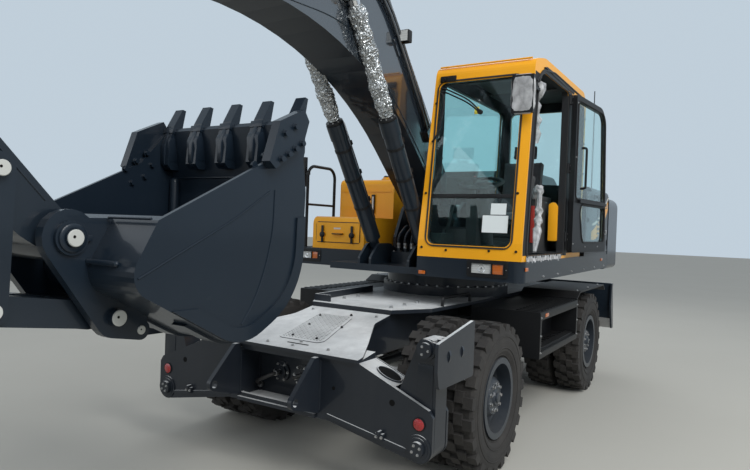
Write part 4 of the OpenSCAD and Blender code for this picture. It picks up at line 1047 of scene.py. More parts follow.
@dataclass
class RunningGear:
    """Nuts, hub screws and sidewall lines of the four twin wheels."""

    axle_x: tuple[float, float] = (1.7, -1.1)
    axle_z: float = 0.525
    hub_y: float = 1.2045
    disc_y: float = 1.0835
    plug_y: float = 1.2188
    nuts: int = 10
    screws: int = 9
    flange_screws: int = 12
    flange_radius: float = 0.102
    line_radius: float = 0.0045

    def wheel(self, body: str, x: float, side: int) -> None:
        """Dress one wheel.

        Args:
            body: its body.
            x: its axle's place.
            side: 1 on the left, -1 on the right.
        """
        out = side * LEFT
        spots = []
        for count, radius, y, width in ((self.nuts, 0.171, self.disc_y, 0.034),
                                        (self.screws, 0.092, self.hub_y, 0.022)):
            spots += [Fastener(at(x + radius * math.cos(a), side * y, self.axle_z + radius * math.sin(a)), out, width)
                      for a in turns(count, 0.5)]
        BOLTS.make(f"{body}_nuts", body, Finish.STEEL, spots)
        Shape(f"{body}_plug", body, Finish.RIM).lathe(
            at(x, side * self.plug_y, self.axle_z), out,
            [(0.0, -0.004), (0.034, -0.004), (0.034, 0.006), (0.028, 0.012), (0.0, 0.013)], 24).done()
        rings = Shape(f"{body}_sidewall_lines", body, Finish.TYRE)
        for radius, y in ((0.3, 1.2262), (0.352, 1.2465), (0.432, 1.2475)):
            rings.tube([at(x + radius * math.cos(t), side * y, self.axle_z + radius * math.sin(t))
                        for t in turns(72) + [math.tau]], self.line_radius, 6)
        rings.done()
        Shape(f"{body}_valve", body, Finish.STEEL).tube(
            [at(x + 0.2, side * 1.07, self.axle_z), at(x + 0.21, side * 1.1, self.axle_z),
             at(x + 0.235, side * 1.135, self.axle_z)], 0.006, 8).done()

    def build(self) -> None:
        """Dress all four wheels and the axle ends."""
        for body, x, side in (("wheel_fl", self.axle_x[0], 1), ("wheel_fr", self.axle_x[0], -1),
                              ("wheel_rl", self.axle_x[1], 1), ("wheel_rr", self.axle_x[1], -1)):
            self.wheel(body, x, side)
        spots = []
        for x in self.axle_x:
            for side in SIDES:
                spots += [Fastener(at(x + self.flange_radius * math.cos(a), side * 0.2505,
                                      self.axle_z + self.flange_radius * math.sin(a)), side * LEFT, 0.016)
                          for a in turns(self.flange_screws)]
        BOLTS.make("axle_bolts", "undercarriage", Finish.STEEL, spots)


# ---------------------------------------------------------------- undercarriage


@dataclass
class OutriggerBeam:
    """Reflectors, holes, fittings, hose and welds of the beam, pads and horn plate."""

    face_x: float = 2.634
    slope: float = -0.1773
    deck_from: tuple[float, float] = (1.776, 1.024)
    pin_y: float = 1.085
    cover_fall: float = 0.4125
    lug_y: tuple[float, float] = (0.328, 0.364)

    def deck_z(self, x: float) -> float:
        """Height of the horn plate's top at x."""
        return self.deck_from[1] + (x - self.deck_from[0]) * self.slope

    def cover_z(self, y: float) -> float:
        """Height of the sloping covers' top at y from the middle."""
        return 0.8505 - (y - 0.648) * self.cover_fall

    def reflectors(self) -> None:
        """Round red reflectors above the leg pins."""
        lens = Shape("beam_reflectors", "undercarriage", Finish.RED_LENS)
        rim = Shape("beam_reflector_rims", "undercarriage", Finish.BLACK)
        for side in SIDES:
            spot = at(self.face_x, side * self.pin_y, 0.552)
            lens.lathe(spot, AHEAD, [(0.0, 0.0), (0.036, 0.0), (0.036, 0.006), (0.028, 0.011), (0.0, 0.013)])
            rim.lathe(spot, AHEAD, [(0.036, 0.0), (0.042, 0.0), (0.042, 0.006), (0.036, 0.0075)])
        lens.done(slot="lamp_lens")
        rim.done()

    def holes(self) -> None:
        """Drain and lashing holes, drawn as black patches of painted shadow with a raised lip."""
        # Black discs and ellipses of painted shadow stand in the holes.
        dark = Shape("beam_bores", "undercarriage", Finish.PIT)
        for side in SIDES:
            for y, z, radius in ((0.9, 0.645, 0.019), (0.47, 0.66, 0.012)):
                dark.lathe(at(self.face_x - 0.003, side * y, z), AHEAD,
                           [(0.0, 0.0), (radius, 0.0), (radius, 0.0045), (0.0, 0.004)], 28)
        lip = Shape("beam_cover_lips", "undercarriage", Finish.CHASSIS)
        for side in SIDES:
            rim = [(2.52 + 0.062 * math.cos(t), 0.812 + 0.078 * math.sin(t)) for t in turns(28)]
            dark.prism([at(x, side * y, self.cover_z(y) - 0.0035) for x, y in rim], UP * 0.0045)
            path = [(2.52 + 0.064 * math.cos(t), 0.812 + 0.08 * math.sin(t)) for t in turns(36) + [math.tau]]
            lip.tube([at(x, side * y, self.cover_z(y)) for x, y in path], 0.006, 8)
        dark.done()
        lip.done()

    def fittings(self) -> None:
        """Grease blocks on the lower edge, screws of the flanges and of the horn plate."""
        block = Shape("beam_grease_blocks", "undercarriage", Finish.CHASSIS)
        spots = []
        for side in SIDES:
            block.box(at(self.face_x, side * 0.83 - 0.028, 0.41), at(self.face_x + 0.026, side * 0.83 + 0.028, 0.452))
            block.rod(at(self.face_x, side * 0.83, 0.455), at(self.face_x + 0.04, side * 0.83, 0.455), 0.014)
            spots += [Fastener(at(self.face_x + 0.026, side * 0.83 + dy, 0.431), AHEAD, 0.014)
                      for dy in (-0.018, 0.018)]
            spots += [Fastener(at(self.face_x + 0.034, side * self.pin_y + 0.028 * math.cos(a + 0.5),
                                  0.41 + 0.028 * math.sin(a + 0.5)), AHEAD, 0.013) for a in turns(4)]
        for y in (-0.12, 0.06):
            spots += [Fastener(at(2.448, y + 0.06 * math.cos(a), 0.64 + 0.06 * math.sin(a)), AHEAD, 0.014)
                      for a in turns(6)]
        up = Vector((-self.slope, 0, 1)).normalized()
        for x, y in ((2.6, -0.12), (2.6, 0.1), (2.52, 0.11), (2.58, 0.38), (2.56, -0.42), (1.86, -0.3), (1.86, 0.3)):
            spots.append(Fastener(at(x, y, self.deck_z(x)), up, 0.018))
        pins = [Fastener(at(x, y, self.deck_z(x) + 0.004), up, 0.016)
                for x, y in ((1.99, -0.13), (1.9, 0.1), (2.2, -0.07), (2.17, 0.2), (2.44, 0.18), (2.44, -0.03))]
        BOLTS.make("horn_patch_screws", "undercarriage", Finish.BLACK, pins)
        # A thin black strip of painted shadow stands for the slot in the horn plate.
        slot = Shape("horn_slot", "undercarriage", Finish.PIT)
        slot.box(at(2.55, 0.02, self.deck_z(2.55) - 0.001), at(2.562, 0.2, self.deck_z(2.55) + 0.0015))
        slot.done()
        block.done(0.003)
        BOLTS.make("beam_screws", "undercarriage", Finish.STEEL, spots)

    def tread_patch(self) -> None:
        """Chequered anti-slip patch on the horn plate, its raised lozenges set in rows."""
        tread = Shape("horn_tread_plate", "undercarriage", Finish.CHASSIS)
        outline = rounded([(1.93, -0.19, 0.05), (2.5, -0.12, 0.05), (2.5, 0.27, 0.05), (1.93, 0.14, 0.05)])
        tread.prism([at(x, y, self.deck_z(x) + 0.0005) for x, y in outline], UP * 0.004)
        tread.done()
        marks = Shape("horn_tread_lozenges", "undercarriage", Finish.CHASSIS)
        for i in range(21):
            for j in range(13):
                x = 1.955 + i * 0.0255
                y = -0.16 + (x - 1.93) * 0.13 + j * (0.265 + (x - 1.93) * 0.1) / 12
                along, across = (0.009, 0.003) if (i + j) % 2 else (0.003, 0.009)
                z = self.deck_z(x) + 0.0045
                tip = [at(x - along, y, z), at(x, y - across, z), at(x + along, y, z), at(x, y + across, z)]
                marks.prism(tip, UP * 0.0025)
        marks.done()

    def hoses(self) -> None:
        """Hoses of the leg cylinders in the middle bay."""
        hose = Shape("bay_hoses", "undercarriage", Finish.HOSE)
        for path in (
                ((2.49, -0.12, 0.64), (2.545, -0.12, 0.64), (2.56, -0.2, 0.6), (2.52, -0.29, 0.56), (2.45, -0.3, 0.52)),
                ((2.49, 0.06, 0.64), (2.54, 0.06, 0.64), (2.55, 0.16, 0.68), (2.52, 0.28, 0.74), (2.45, 0.3, 0.76))):
            hose.tube([at(*p) for p in path], 0.013, 12, 0.05)
        hose.done()
        collar = Shape("bay_hose_ends", "undercarriage", Finish.STEEL)
        for y in (-0.12, 0.06):
            collar.rod(at(2.484, y, 0.64), at(2.515, y, 0.64), 0.019, sides=6)
        for y, z in ((-0.3, 0.52), (0.3, 0.76)):
            collar.rod(at(2.444, y, z), at(2.47, y, z), 0.019, sides=6)
        collar.done(0.001)

    def welds(self) -> None:
        """Weld beads where the lugs and covers meet the plates."""
        bead = Shape("beam_welds", "undercarriage", Finish.CHASSIS)
        for side in SIDES:
            for y in self.lug_y:
                bead.tube([at(self.face_x + 0.001, side * y, 0.5), at(self.face_x + 0.001, side * y, 0.82)], 0.005, 6)
            bead.tube([at(2.42, side * 0.645, 0.851), at(2.625, side * 0.645, 0.851)], 0.004, 6)
            bead.tube([at(2.42, side * 0.648, 0.847), at(2.42, side * 0.905, 0.741)], 0.004, 6)
        bead.done()

    def build(self) -> None:
        """Dress the beam."""
        self.reflectors()
        self.holes()
        self.fittings()
        self.tread_patch()
        self.hoses()
        self.welds()


@dataclass
class Undercarriage:
    """Ring and deck screws, step bar, trim of the step boxes, leg screws and the blade's cutting edge."""

    ring_screws: int = 40
    ring_radius: float = 0.623
    box_y: float = 1.2482
    leg_pin: tuple[float, float, float] = (2.663, 1.113, 0.991)
    edge_half: float = 1.24

    def deck(self) -> None:
        """Screws round the fixed ring and along the deck, and the step bar on the left."""
        spots = [Fastener(at(self.ring_radius * math.cos(a), self.ring_radius * math.sin(a), 1.15), UP, 0.021)
                 for a in turns(self.ring_screws)]
        spots += [Fastener(at(x, side * 0.3, 1.06), UP, 0.026) for side in SIDES for x in (1.2, 1.42, 1.64)]
        BOLTS.make("deck_screws", "undercarriage", Finish.STEEL, spots)
        bar = Shape("deck_step_bars", "undercarriage", Finish.BLACK)
        bar.tube([at(*p) for p in ((0.75, 0.59, 1.06), (0.75, 0.59, 1.13), (1.25, 0.56, 1.13), (1.25, 0.56, 1.055))],
                 0.014, 10, 0.05)
        bar.done()

    def steps(self) -> None:
        """Edge strips, screws and amber side reflectors of the step boxes."""
        strip = Shape("step_edge_strips", "undercarriage", Finish.BLACK)
        lens = Shape("step_reflectors", "undercarriage", Finish.AMBER_LENS)
        spots = []
        for side in SIDES:
            y = side * self.box_y
            strip.rim(lambda u, v: at(u, y, v), plate(-0.44, 0.65, 0.83, 1.03, 0.004),
                      plate(-0.398, 0.702, 0.788, 0.97, 0.02), side * LEFT * 0.004)
            lens.box(at(0.6, side * 1.2484, 0.985), at(0.69, side * 1.256, 1.015))
            spots += [Fastener(at(u, side * 1.2522, v), side * LEFT, 0.015)
                      for u in (-0.418, 0.808) for v in (0.7, 0.84, 0.99)]
            spots += [Fastener(at(u, side * 1.2, 1.11), UP, 0.018) for u in (-1.6, -1.1, -0.62)]
        strip.done(0.0015)
        lens.done(0.002, slot="lamp_lens")
        BOLTS.make("step_screws", "undercarriage", Finish.STEEL, spots)

    def legs(self) -> None:
        """Pin cap screws and wear marks of the outriggers and pads."""
        for side, leg, pad in ((1, "outrigger_left", "pad_left"), (-1, "outrigger_right", "pad_right")):
            x, y, z = self.leg_pin
            spots = [Fastener(at(x, side * (y + 0.026 * math.cos(a)), z + 0.026 * math.sin(a)), AHEAD, 0.012)
                     for a in turns(3)]
            BOLTS.make(f"{pad}_screws", pad, Finish.STEEL, spots)
            guide = Shape(f"{leg}_wear_strip", leg, Finish.CHASSIS)
            guide.box(at(2.6, side * 1.1 - 0.05, 0.56), at(2.6035, side * 1.1 + 0.05, 0.9))
            guide.done(0.001)

    def blade(self) -> None:
        """Bolted cutting edge of the dozer blade."""
        edge = Shape("blade_cutting_edge", "dozer_blade", Finish.STEEL)
        edge.prism([at(x, -self.edge_half, z) for x, z in
                    ((-2.375, 0.518), (-2.348, 0.518), (-2.318, 0.64), (-2.334, 0.645))], LEFT * 2 * self.edge_half)
        edge.done(0.002)
        spots = [Fastener(at(-2.352, -1.1 + 0.2 * k, 0.585), Vector((-0.97, 0, 0.24)), 0.024) for k in range(12)]
        BOLTS.make("blade_screws", "dozer_blade", Finish.STEEL, spots)

    def build(self) -> None:
        """Dress the undercarriage."""
        self.deck()
        self.steps()
        self.legs()
        self.blade()


# ---------------------------------------------------------------- upper structure


@dataclass
class LampSet:
    """Bezels, amber halves and reflector bowls of the skirt lamps."""

    def lamp(self, name: str, face: float, low_y: float, high_y: float, low_z: float, high_z: float,
             amber: tuple[float, float]) -> None:
        """One recessed lamp.

        Args:
            name: prefix of its pieces.
            face: the skirt's front face.
            low_y: lower side of the recess.
            high_y: upper side of the recess.
            low_z: foot of the recess.
            high_z: top of the recess.
            amber: width of the amber half.
        """
        bezel = Shape(f"{name}_bezel", "upper", Finish.BLACK)
        bezel.rim(lambda y, z: at(face + 0.0004, y, z),
                  plate(low_y - 0.02, low_z - 0.018, high_y + 0.02, high_z + 0.018, 0.02),
                  plate(low_y + 0.008, low_z + 0.008, high_y - 0.008, high_z - 0.008, 0.012), AHEAD * 0.005)
        bezel.done(0.001)
        lens = Shape(f"{name}_amber", "upper", Finish.AMBER_LENS)
        lens.box(at(face - 0.0056, amber[0], low_z + 0.012), at(face - 0.0015, amber[1], high_z - 0.012))
        lens.done(0.0015, slot="lamp_lens")
        bars = Shape(f"{name}_housing", "upper", Finish.BLACK)
        face_x = face - 0.0058
        split = amber[0] - 0.006
        for y in (low_y + 0.006, split - 0.004, high_y - 0.02):
            bars.box(at(face_x, y, low_z + 0.006), at(face_x + 0.012, y + 0.01, high_z - 0.006))
        for z in (low_z + 0.004, high_z - 0.012):
            bars.box(at(face_x, low_y + 0.006, z), at(face_x + 0.012, high_y - 0.01, z + 0.009))
        bars.done(0.001)
        bowl = Shape(f"{name}_bulb_ring", "upper", Finish.CHROME)
        mid_y, mid_z = (low_y + 0.016 + split) / 2, (low_z + high_z) / 2
        bowl.lathe(at(face_x - 0.0008, mid_y, mid_z), AHEAD,
                   [(0.0, 0.0), (0.008, 0.0), (0.01, 0.004), (0.0, 0.006)], 16)
        bowl.lathe(at(face_x - 0.0008, mid_y, mid_z), AHEAD,
                   [(0.026, 0.0), (0.03, 0.0), (0.03, 0.003), (0.026, 0.002), (0.026, 0.0)], 28)
        bowl.done()
        marks = Shape(f"{name}_screws", "upper", Finish.STEEL)
        for y in (low_y - 0.006, high_y + 0.006):
            marks.rod(at(face + 0.005, y, mid_z), at(face + 0.0085, y, mid_z), 0.004, sides=12)
        marks.done()

    def build(self) -> None:
        """Both head lamps, the markers and the tail lamps."""
        self.lamp("left_lamp", 1.289, 0.8, 1.1, 1.345, 1.445, (0.991, 1.084))
        self.lamp("right_lamp", 0.93, -1.18, -0.95, 1.345, 1.435, (-1.039, -0.961))
        blocks("marker_lamps", Finish.AMBER_LENS,
               (((1.2893, 0.352, 1.318), (1.297, 0.412, 1.346)), ((1.18, 1.2363, 1.392), (1.245, 1.244, 1.42)),
                ((-1.6, 1.2363, 1.392), (-1.53, 1.244, 1.42)), ((-1.6, -1.244, 1.392), (-1.53, -1.2363, 1.42))),
               0.0025, "lamp_lens")
        blocks("marker_seats", Finish.BLACK, (((1.2892, 0.346, 1.312), (1.2925, 0.418, 1.352)),), 0.001)


@dataclass
class Platform:
    """Trim of the toolbox, tank, side doors, valve block and edges of the revolving platform."""

    side_y: float = 1.2302
    edge_y: float = 1.2362
    deck_z: float = 1.4652

    def toolbox(self) -> None:
        """Latches, grip, seal and blank plate of the toolbox."""
        strap = Shape("toolbox_latches", "upper", Finish.BLACK)
        for y in (-0.93, -0.58):
            strap.box(at(0.9165, y - 0.012, 1.52), at(0.924, y + 0.012, 1.69))
            strap.lathe(at(0.918, y, 1.6), AHEAD,
                        [(0.0, 0.0), (0.03, 0.0), (0.03, 0.008), (0.02, 0.016), (0.0, 0.018)], 24)
        strap.tube([at(x, y, 1.61) for x, y in ((0.91, -0.8), (0.945, -0.8), (0.945, -0.69), (0.91, -0.69))],
                   0.006, 8, 0.02)
        strap.done(0.001)
        seal = Shape("toolbox_seal", "upper", Finish.SEAL)
        seal.rim(lambda y, z: at(0.9004, y, z), plate(-1.018, 1.522, -0.492, 1.728, 0.03),
                 plate(-1.008, 1.532, -0.502, 1.718, 0.02), AHEAD * 0.003)
        seal.done()
        blocks("toolbox_plate", Finish.CREAM, (((0.9082, -0.8, 1.655), (0.9095, -0.72, 1.672)),))

    def tank(self) -> None:
        """Sight gauge, screws, grip and tread strips of the tank."""
        blocks("tank_gauge", Finish.BLACK, (((0.3485, -0.72, 1.83), (0.36, -0.68, 2.03)),), 0.004)
        blocks("tank_gauge_glass", Finish.CLEAR_LENS, (((0.3605, -0.708, 1.85), (0.3625, -0.692, 2.01)),))
        spots = [Fastener(at(x, -1.1362, z), -LEFT, 0.018) for x in (-0.84, -0.28, 0.28) for z in (1.56, 2.06)]
        spots += [Fastener(at(-0.1 + 0.06 * math.cos(a), -0.8 + 0.06 * math.sin(a), 2.23), UP, 0.011) for a in turns(6)]
        spots += [Fastener(at(x, y, 2.19), UP, 0.018) for x in (-0.85, 0.29) for y in (-1.08, -0.5)]
        BOLTS.make("tank_screws", "upper", Finish.STEEL, spots)
        grip = Shape("tank_grip", "upper", Finish.BLACK)
        grip.tube([at(x, -1.0, z) for x, z in ((-0.75, 2.188), (-0.75, 2.29), (-0.35, 2.29), (-0.35, 2.188))],
                  0.012, 10, 0.05)
        grip.done()
        blocks("tank_tread_strips", Finish.BLACK,
               tuple(((-0.8 + 0.36 * k, -0.95, 2.1901), (-0.62 + 0.36 * k, -0.55, 2.193)) for k in range(3)), 0.001)

    def sides(self) -> None:
        """Seams, handles, hinges and screws of the side doors."""
        black = Shape("side_door_handles", "upper", Finish.BLACK)
        spots = []
        for side, ends in ((1, (-1.88, -1.3, -0.74)), (-1, (-1.88, -1.4, -0.93))):
            face = side * self.side_y
            for u, v in zip(ends, ends[1:]):
                black.rim(lambda a, b: at(a, face, b), plate(u, 1.49, v - 0.012, 2.12, 0.02),
                          plate(u + 0.004, 1.494, v - 0.016, 2.116, 0.02), LEFT * side * 0.0012)
                middle = v - 0.09
                black.box(at(middle - 0.05, min(face, face + side * 0.009), 1.82),
                          at(middle + 0.03, max(face, face + side * 0.009), 1.86))
                for z in (1.56, 2.04):
                    foot = at(u + 0.01, face + side * 0.004, z)
                    black.rod(foot, foot + UP * 0.07, 0.007, sides=12)
                spots += [Fastener(at(a, face, b), side * LEFT, 0.012)
                          for a in (u + 0.03, v - 0.04) for b in (1.51, 2.1)]
        black.done()
        BOLTS.make("side_door_screws", "upper", Finish.STEEL, spots)

    def stripes(self) -> None:
        """Curved orange and pale flashes on both sides behind the cab, made as thin film."""
        for side in SIDES:
            face = side * (self.side_y + 0.0004)
            for name, finish, shift, width, lift in (("amber", Finish.ORANGE, 0.0, 0.17, 0.0),
                                                     ("pale", Finish.CREAM, 0.2, 0.045, 0.0004)):
                low, high = [], []
                for k in range(17):
                    t = k / 16
                    x = -0.98 - 0.88 * t - shift * 0.2
                    mid = 1.68 + 0.36 * t ** 1.7 + shift * 0.6
                    half = width * 0.5 * (0.25 + 0.75 * math.sin(math.pi * min(1.0, t * 0.75 + 0.1)))
                    low.append(at(x, face + side * lift, min(mid - half, 2.13)))
                    high.append(at(x, face + side * lift, min(mid + half, 2.135)))
                band = Shape(f"flash_{name}_{'left' if side > 0 else 'right'}", "upper", finish)
                band.prism(low + list(reversed(high)), Vector((0, side * 0.0006, 0)))
                band.done(slot="orange_paint" if name == "amber" else None)

    def hydraulics(self) -> None:
        """Screws of the valve block and crimped ends of its hoses."""
        spots = [Fastener(at(x, y, 1.4702), UP, 0.016) for x in (0.635, 0.75, 0.885) for y in (-0.125, 0.125)]
        BOLTS.make("valve_block_screws", "upper", Finish.STEEL, spots)
        crimp = Shape("hose_crimps", "upper", Finish.STEEL)
        for y in (-0.105, -0.035, 0.035, 0.105):
            crimp.lathe(at(0.831, y, 1.503), Vector((0.03, 0, 1)),
                        [(0.0145, 0.0), (0.0185, 0.0), (0.0185, 0.012), (0.0175, 0.014), (0.0185, 0.016),
                         (0.0185, 0.045), (0.0145, 0.05)], 20)
        crimp.done()

    def frame_screws(self) -> None:
        """Screws of the boom bracket and the platform's edges, and the walkway's tread."""
        x, z = BOOM_FOOT
        spots = [Fastener(at(x + 0.09 * math.cos(a), -0.322, z + 0.09 * math.sin(a)), -LEFT, 0.02) for a in turns(6)]
        spots += [Fastener(at(x, side * self.edge_y, 1.33), side * LEFT, 0.016) for side in SIDES
                  for x in (-1.7, -1.2, -0.7, -0.2, 0.3, 0.75)]
        spots += [Fastener(at(x, y, self.deck_z), UP, 0.018) for x in (0.5, 0.7, 0.88) for y in (-1.21, -0.4)]
        BOLTS.make("platform_screws", "upper", Finish.STEEL, spots)
        blocks("walkway_tread", Finish.BLACK, (((-0.86, -1.228, self.deck_z + 0.0001), (0.86, -1.142, 1.469)),), 0.001)

    def build(self) -> None:
        """Dress the platform."""
        self.toolbox()
        self.tank()
        self.sides()
        self.stripes()
        self.hydraulics()
        self.frame_screws()


# ---------------------------------------------------------------- cab


@dataclass
class Cab:
    """Window rubbers, wiper, papers, screws, roof rails, wrapped rail and inner trim of the cab."""

    front: float = 1.289
    lean: float = 0.165
    lean_from: float = 1.6
    lean_over: float = 1.45
    side_y: float = 1.222
    inner_y: float = 0.33
    console_z: float = 1.9895
    levers_y: tuple[float, float] = (0.45, 1.0)

    def front_x(self, z: float) -> float:
        """Front face of the cab at height z."""
        return self.front - max(0.0, z - self.lean_from) * self.lean / self.lean_over

    def boom_side_y(self, z: float) -> float:
        """Face of the cab beside the boom at height z."""
        return self.inner_y + 0.045 * (z - 1.465) / 1.645

    def rubbers(self) -> None:
        """Rubber seals round the windows and the door opening."""
        seal = Shape("cab_window_rubbers", "upper", Finish.SEAL)
        for (low_u, low_v, high_u, high_v, radius), grow, place, shift in (
                ((0.415, 1.57, 1.127, 2.92, 0.06), 0.02,
                 lambda u, v: at(self.front_x(v) + 0.0005, u, v), (0.006, 0, 0.0007)),
                ((-0.43, 1.72, 1.03, 2.94, 0.06), 0.018,
                 lambda u, v: at(u, self.boom_side_y(v) - 0.0005, v), (0, -0.005, 0)),
                ((-0.47, 1.9, -0.04, 2.96, 0.06), 0.018, lambda u, v: at(u, self.side_y + 0.0005, v), (0, 0.004, 0)),
                ((0.46, 2.0, 1.112, 2.94, 0.05), 0.018, lambda u, v: at(-0.5605, u, v), (-0.005, 0, 0))):
            corners = [(u, v, radius) for u, v in
                       ((low_u, low_v), (high_u, low_v), (high_u, high_v), (low_u, high_v))]
            seal.rim(place, grown(corners, grow), grown(corners, -0.006), Vector(shift))
        door = [(0.12, 1.51, 0.03), (1.18, 1.51, 0.03), (1.18, 1.6, 0.05), (1.014, 2.985, 0.18), (0.12, 2.985, 0.04)]
        round_door = [(0.1, 1.49, 0.05), (1.2, 1.49, 0.05), (1.2, 1.602, 0.07), (1.032, 3.005, 0.2), (0.1, 3.005, 0.06)]
        seal.rim(lambda u, v: at(u, self.side_y + 0.0005, v), rounded(round_door), rounded(door), LEFT * 0.008)
        seal.done(0.0015)

    def windscreen(self) -> None:
        """Split bar, wiper, blank papers and sticker of the windscreen."""
        bar = Shape("windscreen_bar", "upper", Finish.BLACK)
        tilt = Matrix.Rotation(-math.atan(self.lean / self.lean_over), 3, "Y")
        z = 1.968
        bar.box(at(self.front_x(z) - 0.021, 0.417, z - 0.016), at(self.front_x(z) - 0.008, 1.125, z + 0.016), tilt)
        bar.done(0.003)
        wiper = Shape("windscreen_wiper", "upper", Finish.BLACK)
        wiper.rod(at(self.front_x(2.93), 0.452, 2.945), at(self.front_x(2.93) + 0.03, 0.452, 2.945), 0.02)
        wiper.box(at(self.front_x(2.97) + 0.0005, 0.42, 2.925), at(self.front_x(2.93) + 0.012, 0.56, 2.975), tilt)
        for dz in (0.0, 0.028):
            links = ((0.43, 2.875 - dz), (0.49, 2.86 - dz), (0.56, 2.825 - dz), (0.69, 2.76 - dz),
                     (0.795, 2.66 - dz / 2))
            wiper.tube([at(self.front_x(v) + 0.016, u, v) for u, v in links], 0.0065, 8, 0.08)
        blade = ((0.44, 2.85), (0.462, 2.79), (0.472, 2.72), (0.45, 2.55), (0.425, 2.46), (0.39, 2.42))
        wiper.tube([at(self.front_x(v) + 0.012, u, v) for u, v in blade], 0.0085, 8, 0.06)
        wiper.rod(at(self.front_x(2.65) - 0.002, 0.797, 2.65), at(self.front_x(2.65) + 0.026, 0.797, 2.65), 0.02)
        wiper.done(0.001)
        for name, finish, inset, thick, fields in (
                ("windscreen_papers", Finish.PAPER, 0.0205, 0.0006,
                 ((0.943, 1.069, 1.822, 1.91), (0.88, 1.09, 1.68, 1.815))),
                ("windscreen_sticker", Finish.STICKER, 0.0216, 0.0004, ((0.735, 0.775, 2.64, 2.7),))):
            paper = Shape(name, "upper", finish)
            for low_y, high_y, low_z, high_z in fields:
                paper.prism([at(self.front_x(v) - inset, u, v) for u, v in
                             ((low_y, low_z), (high_y, low_z), (high_y, high_z), (low_y, high_z))], AHEAD * thick)
            paper.done()

    def screws(self) -> None:
        """Screws of the front frame, the rear post and the sill, and the bead on the roof's front edge."""
        spots = [Fastener(at(self.front_x(z), y, z), Vector((1, 0, 0.11)).normalized(), 0.016) for y, z in
                 ((1.157, 1.989), (1.175, 1.54), (0.591, 1.525), (0.958, 1.536), (0.37, 1.99), (0.37, 1.54),
                  (1.157, 2.75), (0.395, 2.75))]
        spots += [Fastener(at(-0.53, self.side_y, z), LEFT, 0.014) for z in (1.7, 2.0, 2.3, 2.6, 2.85)]
        spots += [Fastener(at(x, self.side_y, 1.48), LEFT, 0.014) for x in (0.25, 0.55, 0.85)]
        BOLTS.make("cab_screws", "upper", Finish.BLACK, spots)
        bead = Shape("cab_roof_bead", "upper", Finish.ORANGE)
        bead.tube([at(self.front_x(3.0) - 0.02, 0.4, 3.06), at(self.front_x(3.0) - 0.02, 1.19, 3.06)], 0.008, 8)
        bead.done()

    def roof(self) -> None:
        """Rain gutter, the two hooks and the hatch's rubber."""
        gutter = Shape("cab_roof_gutters", "upper", Finish.BLACK)
        gutter.tube([at(x, 1.2235, z) for x, z in
                     ((-0.5, 2.99), (-0.5, 3.042), (0.6, 3.052), (0.93, 3.0), (1.09, 2.88))], 0.009, 8, 0.05)
        gutter.done()
        hook = Shape("cab_roof_hooks", "upper", Finish.BLACK)
        for y in (0.4, 1.13):
            loop = ((0.98, -0.02, 3.03), (0.975, -0.022, 3.085), (0.965, 0.0, 3.1), (0.975, 0.022, 3.085),
                    (0.98, 0.02, 3.03))
            hook.tube([at(x, y + dy, z) for x, dy, z in loop], 0.006, 8, 0.02)
            hook.box(at(0.95, y - 0.04, 3.05), at(1.0, y + 0.04, 3.062), Matrix.Rotation(0.2, 3, "Y"))
        hook.done()
        hatch = Shape("cab_hatch_rubber", "upper", Finish.SEAL)
        hatch.rim(lambda u, v: at(u, v, 3.0985), plate(0.09, 0.51, 0.67, 0.99, 0.02),
                  plate(0.105, 0.525, 0.655, 0.975, 0.02), UP * 0.006)
        hatch.done()

    def trim(self) -> None:
        """Headlining, trim of post and header, catch cover, strap, monitor, mat, levers, arm rests and switches."""
        blocks("cab_headlining", Finish.GREY_PLASTIC,
               (((-0.48, 0.44, 3.025), (0.09, 1.14, 3.037)), ((0.67, 0.44, 3.0), (0.8, 1.14, 3.02)),
                ((0.075, 0.49, 3.03), (0.685, 1.01, 3.036))), 0.004)
        dark = Shape("cab_inner_trim", "upper", Finish.PLASTIC)
        dark.box(at(-0.503, 0.41, 1.53), at(-0.49, 1.15, 1.98))
        dark.box(at(0.94, 0.395, 1.52), at(1.19, 0.5, 1.66))
        dark.box(at(-0.45, 0.385, 1.52), at(0.94, 0.4, 1.7))
        dark.rod(at(1.03, 0.47, 1.66), at(0.98, 0.52, 1.98), 0.014)
        dark.box(at(0.955, 0.44, 1.96), at(0.985, 0.66, 2.14), Matrix.Rotation(0.35, 3, "Z"))
        dark.done(0.006)
        blocks("cab_door_post", Finish.BLACK,
               (((0.004, 1.2225, 1.49), (0.098, 1.2285, 3.0)), ((-0.02, 1.16, 1.52), (0.119, 1.2215, 1.6))), 0.003)
        cover = Shape("door_catch_cover", "upper", Finish.ORANGE)
        cover.prism([at(0.1205, y, z) for y, z in rounded(
            [(1.09, 1.62, 0.01), (1.171, 1.62, 0.01), (1.171, 1.94, 0.03), (1.14, 1.985, 0.03), (1.09, 1.96, 0.02)])],
                    AHEAD * 0.03)
        cover.done(0.003)
        strip = Shape("cab_door_header", "upper", Finish.BLACK)
        header = [(-0.08, 3.008, 0.01), (0.84, 3.008, 0.05), (0.93, 2.99, 0.02), (0.9, 3.03, 0.02), (0.82, 3.05, 0.03),
                  (-0.08, 3.05, 0.01)]
        strip.prism([at(x, 1.2225, z) for x, z in rounded(header)], LEFT * 0.005)
        strip.done(0.001)
        blocks("console_safety_strap", Finish.RED_PLASTIC, (((0.441, 1.015, 1.6), (0.447, 1.05, 1.93)),), 0.002)
        screen = Shape("cab_monitor_glass", "upper", Finish.BLACK)
        screen.box(at(0.951, 0.462, 1.985), at(0.9535, 0.638, 2.115), Matrix.Rotation(0.35, 3, "Z"))
        screen.done()
        ribs = tuple(((0.47 + 0.031 * k, 0.44, 1.5232), (0.482 + 0.031 * k, 1.13, 1.5262)) for k in range(24))
        blocks("cab_floor_mat", Finish.SEAL, (((0.45, 0.42, 1.5192), (1.21, 1.15, 1.5232)),) + ribs)
        boot = Shape("lever_boots", "upper", Finish.SEAL)
        grip = Shape("lever_grips", "upper", Finish.PLASTIC)
        for y in self.levers_y:
            rows = [(0.055 - 0.034 * k / 8 + (0.006 if k % 2 else 0.0), 0.006 * k) for k in range(9)]
